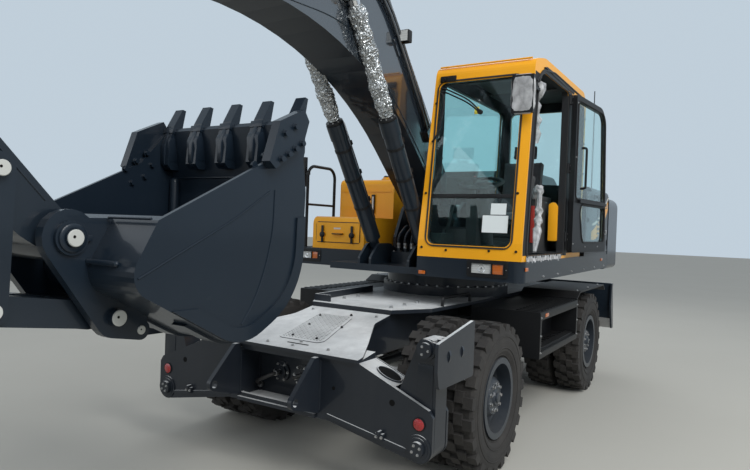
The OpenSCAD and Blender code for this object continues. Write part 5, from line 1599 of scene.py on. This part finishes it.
            boot.lathe(at(0.39, y, self.console_z), UP, rows + [(0.0, 0.05)], 28)
            grip.lathe(at(0.39, y, 2.06), UP,
                       [(0.0, 0.0), (0.021, 0.0), (0.024, 0.03), (0.021, 0.07), (0.027, 0.095), (0.03, 0.115),
                        (0.024, 0.135), (0.0, 0.14)], 24)
        boot.done()
        grip.done(smooth=50)
        tops = Shape("lever_buttons", "upper", Finish.RED_PLASTIC)
        for y in self.levers_y:
            tops.rod(at(0.398, y, 2.199), at(0.398, y, 2.205), 0.008, sides=16)
        tops.rod(at(0.2, 0.45, self.console_z), at(0.2, 0.45, 2.005), 0.018, 0.014)
        tops.done()
        blocks("console_arm_rests", Finish.PLASTIC,
               tuple(((-0.1, y - 0.045, self.console_z), (0.24, y + 0.045, 2.03)) for y in self.levers_y), 0.012)
        keys = tuple(((0.262, 0.412 + 0.016 * k, self.console_z), (0.288, 0.424 + 0.016 * k, 1.9965)) for k in range(5))
        blocks("console_switches", Finish.BLACK, keys, 0.001)

    def wrapping(self) -> None:
        """Clear shipping film on the console rail and grab handle, the outer mirror and the door sill.
        """
        noise = random.Random(7)
        rail = Shape("wrapped_console_rail", "upper", Finish.WRAP)
        path = soften([at(0.8, 1.17, 1.53), at(0.62, 1.14, 1.8), at(0.55, 1.12, 2.1), at(0.45, 1.04, 2.0)], 0.12, 14)
        self.wrap_tube(rail, path, 0.03, noise)
        top = soften([at(0.965, 1.18, 2.76), at(0.95, 1.19, 2.66), at(0.93, 1.19, 2.55), at(0.9, 1.17, 2.42)], 0.12, 5)
        self.wrap_tube(rail, top, 0.03, noise)
        bunch = [at(*p) for p in ((0.985, 1.18, 2.9), (0.98, 1.185, 2.87), (0.975, 1.19, 2.83), (0.972, 1.19, 2.785),
                                  (0.968, 1.19, 2.75))]
        self.wrap_tube(rail, bunch, 0.06, noise)
        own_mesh(rail.done(smooth=60), "door_shut", axis=(0.0, 1.0, 0.0), anchor=tuple(at(0.9, 1.04, 2.0)), keep=0.5)
        film = Shape("sill_film", "upper", Finish.WRAP)
        rows = []
        for i in range(49):
            wave = 1.2315 + 0.004 * math.sin(i * 1.7)
            rows.append([at(0.2 + i / 48, wave + 0.003 * math.sin(i * 0.6 + j) + 0.0015 * j * noise.random(),
                            1.505 - 0.011 * j - 0.012 * math.sin(i * 0.35) ** 2 * j / 4) for j in range(5)])
        film.sheet(rows, 0.0008)
        film.done(smooth=70)
        wrap = Shape("mirror_film", "upper", Finish.VEIL)
        self.wrap_box(wrap, at(1.236, 1.084, 2.594), at(1.2838, 1.266, 2.896), noise)
        wrap.done(smooth=60)

    @staticmethod
    def wrap_tube(shape: Shape, path: list[Vector], radius: float, noise: random.Random) -> None:
        """Loose film round a rail, gathered in folds along a path."""
        rings, side = [], None
        for i, point in enumerate(path):
            ahead = (path[min(i + 1, len(path) - 1)] - path[max(i - 1, 0)]).normalized()
            side = ahead.orthogonal().normalized() if side is None else (side - ahead * side.dot(ahead)).normalized()
            other = ahead.cross(side)
            end = 0.55 if i in (0, len(path) - 1) else 1.0
            puff = radius * end * (0.85 + 0.3 * math.sin(i * 1.1) + 0.15 * noise.random())
            rings.append(shape.bm_ring([point + puff * (1 + 0.16 * math.sin(4 * t + i) + 0.08 * noise.random())
                                        * (math.cos(t) * side + math.sin(t) * other)
                                        for t in turns(22)]))
        shape.bridge(rings)

    @staticmethod
    def wrap_box(shape: Shape, low: Vector, high: Vector, noise: random.Random) -> None:
        """Loose film round a box, as rings of a rounded rectangle with folds.

        Args:
            shape: the shape that receives it.
            low: low corner of the box.
            high: high corner of the box.
            noise: source of the folds.
        """
        rings, steps = 13, 40
        middle, size = (low + high) / 2, (high - low) / 2
        loop = []
        for i in range(rings):
            t = i / (rings - 1)
            end = 1.0 - 0.35 * (abs(t - 0.5) * 2) ** 6
            row = []
            for a in turns(steps):
                c, s = math.cos(a), math.sin(a)
                square = 1.0 / max(abs(c) ** 4 + abs(s) ** 4, 1e-6) ** 0.25
                fold = 1.0 + 0.035 * noise.random() + 0.03 * math.sin(9 * a + i * 1.3)
                row.append(Vector((middle.x + size.x * c * square * end * fold,
                                   middle.y + size.y * s * square * end * fold, low.z + (high.z - low.z) * t)))
            loop.append(shape.bm_ring(row))
        shape.bridge(loop)

    def build(self) -> None:
        """Dress the cab."""
        self.rubbers()
        self.windscreen()
        self.screws()
        self.roof()
        self.trim()
        self.wrapping()


@dataclass
class Seat:
    """Padded seat of the driver on its suspension box."""

    cushion: tuple[Triple, Triple] = ((-0.13, 0.508, 1.783), (0.43, 0.942, 1.883))
    back: tuple[Triple, Triple] = ((-0.13, -0.215, 0.02), (-0.01, 0.215, 0.56))
    head: tuple[Triple, Triple] = ((-0.08, -0.13, 0.02), (0.0, 0.13, 0.18))
    lean: float = math.radians(10)
    swell: float = 4.0
    voxel: float = 0.009

    def pad(self, name: str, low: Vector, high: Vector, basis: Matrix, bolster: float) -> bpy.types.Object:
        """One padded cushion.

        Args:
            name: its name.
            low: low corner in its own axes.
            high: high corner in its own axes.
            basis: where its axes lie.
            bolster: extra height of its side edges.

        Returns:
            The piece.
        """
        shape = Shape(name, "upper", Finish.CLOTH)
        inner_low, inner_high = low + Vector((0.016,) * 3), high - Vector((0.016,) * 3)
        shape.box(inner_low, inner_high)
        long_side = 0 if (high.x - low.x) > (high.z - low.z) else 2
        bmesh.ops.subdivide_edges(shape.bm, edges=shape.bm.edges[:], cuts=7, use_grid_fill=True)
        face_axis = 2 if long_side == 0 else 0
        for vert in shape.bm.verts:
            p = vert.co
            half = (inner_high.y - inner_low.y) / 2
            side = abs(p.y - (inner_low.y + inner_high.y) / 2) / half
            crown = bolster * max(0.0, side - 0.45) ** 1.5
            if p[face_axis] > (inner_low[face_axis] + inner_high[face_axis]) / 2:
                p[face_axis] += crown * 0.8 - bolster * 0.4 * (1 - side)
        bmesh.ops.transform(shape.bm, matrix=basis, verts=shape.bm.verts[:])
        piece = shape.done(0.0, 60.0, slot="seat_cloth")
        self.inflate(piece)
        return piece

    def inflate(self, piece: bpy.types.Object) -> None:
        remesh = piece.modifiers.new("remesh", "REMESH")
        remesh.mode, remesh.voxel_size = "VOXEL", self.voxel
        self.apply(piece)
        start = [v.co.copy() for v in piece.data.vertices]
        cloth = piece.modifiers.new("cloth", "CLOTH")
        cloth.settings.use_pressure = True
        cloth.settings.uniform_pressure_force = self.swell
        cloth.settings.effector_weights.gravity = 0.0
        cloth.settings.quality = 4
        scene = bpy.context.scene
        for frame in range(1, 21):
            scene.frame_set(frame)
        self.apply(piece)
        scene.frame_set(1)
        for vert, before in zip(piece.data.vertices, start):
            step = vert.co - before
            if step.length > 0.013:
                vert.co = before + step.normalized() * 0.013
        smooth = piece.modifiers.new("smooth", "SUBSURF")
        smooth.levels = smooth.render_levels = 1
        self.apply(piece)
        piece.data.shade_smooth()

    @staticmethod
    def apply(piece: bpy.types.Object) -> None:
        """Make the modifiers of a piece part of its mesh."""
        bpy.context.view_layer.update()
        evaluated = piece.evaluated_get(bpy.context.evaluated_depsgraph_get())
        mesh = bpy.data.meshes.new_from_object(evaluated)
        old = piece.data
        piece.modifiers.clear()
        piece.data = mesh
        mesh.name = old.name + "_made"
        if not mesh.materials:
            mesh.materials.append(old.materials[0])

    def build(self) -> None:
        """Cushions, suspension box with its bellows, back plate, head rest rods and belt."""
        turned, higher = (Matrix.Translation(at(*p)) @ Matrix.Rotation(-self.lean, 4, "Y")
                          for p in ((-0.06, 0.725, 1.865), (-0.19, 0.725, 2.4)))
        flat = Matrix.Identity(4)
        base = self.pad("seat_cushion", at(*self.cushion[0]), at(*self.cushion[1]), flat, 0.03)
        back = self.pad("seat_back", Vector(self.back[0]), Vector(self.back[1]), turned, 0.03)
        head = self.pad("seat_head_rest", Vector(self.head[0]), Vector(self.head[1]), higher, 0.0)
        stand = Shape("seat_stand", "upper", Finish.PLASTIC)
        stand.box(at(-0.06, 0.56, 1.5192), at(0.36, 0.9, 1.6))
        for k in range(7):
            inset = 0.012 if k % 2 else 0.0
            stand.box(at(-0.05 + inset, 0.57 + inset, 1.6 + 0.022 * k),
                      at(0.35 - inset, 0.89 - inset, 1.622 + 0.022 * k))
        stand.box(at(-0.1, 0.54, 1.753), at(0.4, 0.91, 1.783))
        stand.box(at(-0.205, 0.66, 1.9), at(-0.19, 0.79, 2.42), Matrix.Rotation(-self.lean, 3, "Y"))
        for y in (0.68, 0.77):
            stand.rod(at(-0.222, y, 2.36), at(-0.235, y, 2.46), 0.007)
        trim = stand.done(0.004)
        for piece in (base, back, head, trim):
            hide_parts("seat")
        blocks("seat_belt", Finish.CLOTH, (((-0.1, 0.497, 1.77), (-0.05, 0.5065, 1.9)),), 0.001)
        blocks("seat_belt_buckle", Finish.RED_PLASTIC, (((-0.105, 0.494, 1.9), (-0.045, 0.509, 1.95)),), 0.003)


@dataclass
class Door:
    """Rubbers, handle, latch and screws of the cab door, drawn shut and swung back."""

    hinge: tuple[float, float] = (0.1, 1.236)
    swing: float = math.radians(175.0)
    leaf: tuple[float, float] = (1.178, 1.222)

    def spot(self, x: float, y: float, z: float) -> Vector:
        """A place on the shut door, swung back."""
        c, s = math.cos(self.swing), math.sin(self.swing)
        dx, dy = x - self.hinge[0], y - self.hinge[1]
        return at(self.hinge[0] + dx * c - dy * s, self.hinge[1] + dx * s + dy * c, z)

    def outward(self) -> Vector:
        """Direction of the shut door's outer face after swinging back."""
        return Vector((-math.sin(self.swing), math.cos(self.swing), 0))

    def build(self) -> None:
        """Dress the door."""
        seal = Shape("door_rubbers", "door", Finish.SEAL)
        upper = [(0.185, 2.03, 0.04), (1.085, 2.03, 0.04), (1.0, 2.92, 0.13), (0.185, 2.92, 0.04)]
        lower = [(0.42, 1.62, 0.08), (1.1, 1.62, 0.06), (1.095, 1.965, 0.04), (0.3, 1.965, 0.08)]
        for face, push in ((self.leaf[1] + 0.0005, 0.006), (self.leaf[0] - 0.0005, -0.006)):
            for ring in (upper, lower):
                seal.rim(lambda u, v: self.spot(u, face, v), grown(ring, 0.016), grown(ring, -0.006),
                         self.outward() * push)
        seal.done(0.001)
        handle = Shape("door_handle", "door", Finish.BLACK)
        out = self.outward()
        for z in (1.985, 2.01):
            handle.rod(self.spot(0.98, self.leaf[1], z), self.spot(0.98, self.leaf[1] + 0.03, z), 0.008)
        handle.tube([self.spot(x, self.leaf[1] + dy, 1.995) for x, dy in
                     ((0.94, -0.002), (0.94, 0.035), (1.08, 0.035), (1.08, -0.002))], 0.009, 10, 0.02)
        handle.tube([self.spot(0.3, 1.177, 2.12), self.spot(0.3, 1.13, 2.12), self.spot(0.3, 1.13, 2.5),
                     self.spot(0.3, 1.177, 2.5)], 0.011, 10, 0.04)
        handle.done()
        latch = Shape("door_latch", "door", Finish.STEEL)
        for z in (1.72, 1.99):
            latch.tube([self.spot(1.17, y, z + dz) for y, dz in
                        ((1.19, -0.02), (1.172, -0.02), (1.172, 0.02), (1.19, 0.02))], 0.004, 8, 0.008)
        latch.done()
        spots = [Fastener(self.spot(0.135, self.leaf[1], z), out, 0.013) for z in (1.64, 1.69, 2.27, 2.32, 2.9, 2.95)]
        spots += [Fastener(self.spot(x, self.leaf[0], z), -out, 0.012) for x, z in
                  ((0.15, 1.6), (0.15, 2.4), (0.15, 2.9), (1.14, 1.7), (1.08, 2.3), (0.5, 1.57), (0.9, 1.57))]
        BOLTS.make("door_screws", "door", Finish.STEEL, spots)
        stop = Shape("door_stop", "upper", Finish.SEAL)
        stop.lathe(at(-1.093, 1.2303, 2.101), LEFT, [(0.0, 0.0), (0.03, 0.0), (0.03, 0.008), (0.016, 0.014),
                                                     (0.016, 0.03), (0.022, 0.036), (0.018, 0.044), (0.0, 0.046)], 28)
        stop.done()


# ---------------------------------------------------------------- boom, arm and bucket


@dataclass
class Cylinders:
    """Foil wraps, gland rings, screws and straps of the boom cylinders, and pin plates of the boom."""

    boom_foot: tuple[float, float] = (0.96, 1.45)
    boom_head: tuple[float, float] = BOOM_EYE
    boom_y: float = 0.252
    gland_along: float = 1.315
    foil_along: tuple[float, float] = (1.35, 2.2)
    foil_keep: float = 0.42

    def on_boom_cylinder(self, a: float, y: float, aside: float = 0.0) -> Vector:
        """A place a along a boom cylinder, moved aside in its plane."""
        return on_line(self.boom_foot, self.boom_head, a, y, aside)

    def foil(self, name: str, body: str, start: Vector, end: Vector, radius: float, seed: int) -> bpy.types.Object:
        """A crumpled foil sleeve from start to end."""
        noise = random.Random(seed)
        shape = Shape(name, body, Finish.FOIL)
        axis = (end - start).normalized()
        side = axis.orthogonal().normalized()
        other = axis.cross(side)
        steps, around = 84, 36
        turn = turns(around)
        phases = [(noise.uniform(0, math.tau), noise.randint(2, 7), noise.uniform(5, 26)) for _ in range(7)]
        loops = []
        for i in range(steps + 1):
            t = i / steps
            tight = min(1.0, 0.35 + 9 * min(t, 1 - t)) if 0.02 < t < 0.98 else 0.32
            puff = 0.5 + 0.5 * math.sin(t * math.tau * 4.6 + phases[0][0]) * math.cos(t * math.tau * 1.7)
            row = []
            for k in range(around):
                a = turn[k]
                bulge = sum(math.sin(a * n + p + t * w) for p, n, w in phases) / 7
                sharp = abs(math.sin(a * 5 + t * 31 + phases[1][0])) ** 0.5
                r = radius + tight * (0.015 * puff + 0.009 * bulge + 0.005 * sharp + 0.013 * noise.random())
                row.append(start + (end - start) * t + r * (math.cos(a) * side + math.sin(a) * other))
            loops.append(shape.bm_ring(row))
        shape.bridge(loops)
        return shape.done(smooth=16)

    def build(self) -> None:
        """Dress the boom cylinders and the boom's pins."""
        d = heading(self.boom_foot, self.boom_head)
        rings = Shape("boom_cylinder_glands", "boom_cylinders", Finish.BLACK)
        spots = []
        for side in SIDES:
            y = side * self.boom_y
            centre = self.on_boom_cylinder(self.gland_along, y)
            rings.lathe(centre, d, [(0.0405, -0.004), (0.066, -0.004), (0.072, 0.002), (0.072, 0.02), (0.062, 0.024),
                                    (0.0485, 0.03), (0.0405, 0.03), (0.0405, -0.004)], 40)
            spots += [Fastener(centre + 0.059 * (math.cos(t) * LEFT + math.sin(t) * upright(d)) + d * 0.0235, d, 0.011)
                      for t in turns(8, 0.5)]
            name = "left" if side > 0 else "right"
            foot, top = (self.on_boom_cylinder(a, y) for a in self.foil_along)
            sleeve = self.foil(f"boom_rod_foil_{name}", "boom_pistons", foot, top, 0.0445, 11 + side)
            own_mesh(sleeve)
        rings.done(0.001)
        BOLTS.make("boom_gland_screws", "boom_cylinders", Finish.STEEL, spots)
        strap = Shape("boom_cylinder_straps", "boom_cylinders", Finish.BLACK)
        for side in SIDES:
            y = side * self.boom_y
            for a in (0.52, 0.8, 1.08):
                strap.lathe(self.on_boom_cylinder(a - 0.012, y), d,
                            [(0.0703, 0.0), (0.074, 0.0), (0.074, 0.024), (0.0703, 0.024), (0.0703, 0.0)], 40)
                post = self.on_boom_cylinder(a, y, 0.114)
                strap.box(post - Vector((0.02, 0.016, 0.02)), post + Vector((0.02, 0.016, 0.02)),
                          Matrix.Rotation(-math.atan2(d.z, d.x), 3, "Y"))
        strap.done(0.002)
        plates = []
        caps = Shape("boom_pin_plates", "boom", Finish.BLACK)
        for (x, z), half in ((ARM_CYLINDER_PIN, 0.1155), (ARM_PIVOT, 0.2325)):
            for side in SIDES:
                caps.lathe(at(x, side * half, z), side * LEFT,
                           [(0.0, 0.0), (0.03, 0.0), (0.03, 0.006), (0.0, 0.006)], 32)
                plates += [Fastener(at(x + 0.018 * math.cos(t), side * (half + 0.006), z + 0.018 * math.sin(t)),
                                    side * LEFT, 0.01) for t in (0.5, 2.6, 4.7)]
        caps.done(0.001)
        BOLTS.make("boom_pin_screws", "boom", Finish.STEEL, plates)


@dataclass
class BoomTrim:
    """Weld beads, lamp and grease nipples of the boom."""

    half: float = 0.202

    def build(self) -> None:
        """Dress the boom."""
        lamp = Shape("boom_lamp", "boom", Finish.BLACK)
        glass = Shape("boom_lamp_glass", "boom", Finish.CLEAR_LENS)
        x, z = 1.49, 3.235
        lamp.box(at(x - 0.03, self.half + 0.014, z - 0.05), at(x + 0.04, self.half + 0.104, z + 0.05))
        glass.box(at(x + 0.0402, self.half + 0.022, z - 0.042), at(x + 0.0425, self.half + 0.096, z + 0.042))
        lamp.done(0.01)
        glass.done(slot="lamp_lens")
        welds = Shape("boom_welds", "boom", Finish.SLATE)
        for side in SIDES:
            y = side * (self.half + 0.0008)
            for round_off, line in ((0.3, ((0.45, 1.83), (1.2, 2.47), (2.0, 3.075), (2.4, 3.125), (5.2, 2.885))),
                                    (0.25, ((0.6, 2.35), (1.88, 3.71), (2.3, 3.735), (5.2, 3.165)))):
                welds.tube([at(u, y, v) for u, v in line], 0.004, 6, round_off)
        welds.done()
        nipple = Shape("boom_grease_nipples", "boom", Finish.STEEL)
        for (px, pz), half in ((BOOM_FOOT, 0.2845), (ARM_PIVOT, 0.2325), (BOOM_EYE, 0.2075)):
            for side in SIDES:
                nipple.rod(at(px + 0.05, side * half, pz + 0.03), at(px + 0.05, side * (half + 0.012), pz + 0.03),
                           0.006, 0.003, 10)
        nipple.done()


@dataclass
class ArmTrim:
    """Pipes, clamps, weld lines and screws of the arm."""

    pivot: tuple[float, float] = ARM_PIVOT
    tip: tuple[float, float] = BUCKET_PIN
    half: float = 0.15

    def on_arm(self, a: float, b: float, y: float) -> Vector:
        """A place a along the arm and b towards its outer side."""
        return on_line(self.pivot, self.tip, a, y, b)

    def build(self) -> None:
        """Dress the arm."""
        welds = Shape("arm_welds", "arm", Finish.SLATE)
        pipes = Shape("arm_pipes", "arm", Finish.BLACK)
        spots = []
        for side in SIDES:
            y = side * (self.half + 0.0008)
            for line in (((-0.7, 0.06), (-0.2, 0.185), (0.3, 0.17), (0.95, 0.105), (1.8, 0.08)),
                         ((-0.4, -0.1), (0.3, -0.2), (1.4, -0.095), (1.85, -0.07))):
                welds.tube([self.on_arm(a, b, y) for a, b in line], 0.0038, 6, 0.2)
            for b in (0.06, 0.02):
                pipes.tube([self.on_arm(a, b + drop, side * (self.half + off)) for a, drop, off in
                            ((0.35, 0.0, 0.019), (1.55, -0.03, 0.019), (1.64, -0.03, -0.002))], 0.0085, 8, 0.03)
            for a in (0.5, 0.95, 1.4):
                low, high = self.on_arm(a, 0.0, side * self.half), self.on_arm(a, 0.06, side * (self.half + 0.031))
                centre = (low + high) / 2
                pipes.box(centre - Vector((0.02, 0.0155, 0.042)), centre + Vector((0.02, 0.0155, 0.042)),
                          Matrix.Rotation(0.75, 3, "Y"))
                spots.append(Fastener(self.on_arm(a, 0.03, side * (self.half + 0.031)), side * LEFT, 0.012))
        welds.done()
        pipes.done()
        BOLTS.make("arm_clamp_screws", "arm", Finish.STEEL, spots)


@dataclass
class BucketTrim:
    """Tooth collars and keys, cutter screws, seams, posts and pin ends of the bucket."""

    half: float = 0.545
    inner: float = 0.521
    pitch: float = 0.25
    lip_x: float = 3.119

    def teeth(self) -> None:
        """Collar, key and lower strap rib of each tooth."""
        collar = Shape("tooth_collars", "bucket", Finish.BUCKET)
        keys = Shape("tooth_keys", "bucket", Finish.STEEL)
        for k in range(-2, 3):
            y = k * self.pitch
            for outline, half in (([(3.094, 2.252), (3.176, 2.282), (3.19, 2.243), (3.1, 2.212)], 0.048),
                                  ([(3.13, 2.212), (3.196, 2.212), (3.212, 2.18), (3.2, 2.06), (3.13, 2.06)], 0.0445),
                                  ([(3.08, 2.385), (3.104, 2.39), (3.142, 2.318), (3.122, 2.3)], 0.0165)):
                collar.prism([at(u, y - half, v) for u, v in outline], LEFT * half * 2)
            rib = ((3.15, 2.295), (3.18, 2.262), (3.222, 2.16), (3.222, 2.05), (3.2, 2.02), (3.15, 2.1))
            collar.prism([at(u, y - 0.016, v) for u, v in rib], LEFT * 0.032)
            keys.rod(at(3.142, y - 0.052, 2.246), at(3.142, y + 0.052, 2.246), 0.012, sides=16)
        collar.done(0.004)
        keys.done(0.001)

    def plates(self) -> None:
        """Seams, corner posts of the lip, and the rails and beads across the back."""
        bead = Shape("bucket_seams", "bucket", Finish.BUCKET)
        bead.tube([at(self.lip_x, -0.51, 1.962), at(self.lip_x, 0.51, 1.962)], 0.006, 8)
        for side in SIDES:
            y = side * (self.half + 0.001)
            for line in (((4.17, 1.445), (3.637, 1.703), (3.38, 1.86)),
                         ((3.56, 1.185), (3.47, 1.3), (3.396, 1.46), (3.345, 1.65), (3.341, 1.87))):
                bead.tube([at(u, y, v) for u, v in line], 0.0045, 6, 0.1)
            bead.lathe(at(self.lip_x + 0.01, side * 0.487, 1.6), UP,
                       [(0.0, 0.0), (0.03, 0.0), (0.03, 0.335), (0.026, 0.352), (0.014, 0.362), (0.0, 0.365)], 20)
            bead.tube([at(4.19, side * 0.235, 1.5), at(4.19, side * 0.43, 1.5)], 0.013, 14)
            bead.lathe(at(4.19, side * 0.43, 1.5), side * LEFT, [(0.013, 0.0), (0.01, 0.008), (0.0, 0.013)], 14)
            bead.tube([at(4.1, side * 0.24, 1.695), at(4.1, side * 0.53, 1.695)], 0.006, 8)
        bead.done(smooth=50)

    def screws(self) -> None:
        """Cutter screws outside and their nuts inside the side plates."""
        spots, nuts = [], []
        for side in SIDES:
            spots += [Fastener(at(x, side * (self.half + 0.055), z), side * LEFT, 0.032) for x, z in
                      ((3.2, 2.13), (3.255, 2.095), (3.31, 2.06), (3.365, 2.03), (3.34, 2.165), (3.26, 2.21))]
            nuts += [Fastener(at(x, side * self.inner, z), -side * LEFT, 0.03) for x, z in
                     ((3.399, 2.044), (3.474, 1.988), (3.425, 1.91), (3.324, 2.1), (3.336, 1.954), (3.285, 2.031))]
        BOLTS.make("bucket_cutter_screws", "bucket", Finish.BUCKET, spots)
        BOLTS.make("bucket_cutter_nuts", "bucket", Finish.BUCKET, nuts)

    def pins(self) -> None:
        """Pale pin ends, each with a black dot of painted shadow for its bore, on the bucket and on the links, and the
        rings of the ears.
        """
        for name, body, rows in (
                ("bucket_pin_ends", "bucket",
                 ((BUCKET_PIN, 0.2722, 0.037), ((4.047, 1.24), 0.2622, 0.037), ((3.905, 1.165), 0.2325, 0.0215))),
                ("link_pin_ends", "guide_links", (((4.555, 1.872), 0.2322, 0.032), ((4.572, 1.314), 0.2322, 0.032)))):
            ends = Shape(name, body, Finish.PIN)
            bore_shadow_dots = Shape(name + "_bores", body, Finish.PIT)
            for (x, z), half, radius in rows:
                for side in SIDES:
                    ends.lathe(at(x, side * half, z), side * LEFT,
                               [(0.0, -0.004), (radius, -0.004), (radius, 0.004), (radius - 0.003, 0.007),
                                (0.0, 0.0075)], 32)
                    # Black dot of painted shadow for the bore in each pin end.
                    bore_shadow_dots.rod(at(x + radius * 0.25, side * (half + 0.006), z + radius * 0.15),
                             at(x + radius * 0.25, side * (half + 0.0082), z + radius * 0.15), radius * 0.18, sides=12)
            ends.done()
            bore_shadow_dots.done()
        ring = Shape("bucket_ear_rings", "bucket", Finish.BUCKET)
        for side in SIDES:
            ring.lathe(at(BUCKET_PIN[0], side * 0.2501, BUCKET_PIN[1]), side * LEFT,
                       [(0.0405, 0.0), (0.062, 0.0), (0.062, 0.008), (0.056, 0.012), (0.0405, 0.012),
                        (0.0405, 0.0)], 36)
            ring.box(at(4.18, side * 0.2405 - 0.008, 1.59), at(4.212, side * 0.2405 + 0.008, 1.616))
        ring.done(0.001)

    def build(self) -> None:
        """Dress the bucket and the ends of the link pins."""
        self.teeth()
        self.plates()
        self.screws()
        self.pins()


def main() -> None:
    """Build the scene in order and report each piece."""
    logging.basicConfig(level=logging.INFO, format="%(name)s %(message)s")
    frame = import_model()
    Studio().build()
    Skins().dress(frame["nodes"])
    for part in (RunningGear(), OutriggerBeam(), Undercarriage(), LampSet(), Platform(), Cab(), Seat(), Door(),
                 Cylinders(), BoomTrim(), ArmTrim(), BucketTrim()):
        log.info("building %s", type(part).__name__)
        part.build()


if __name__ == "__main__":
    main()
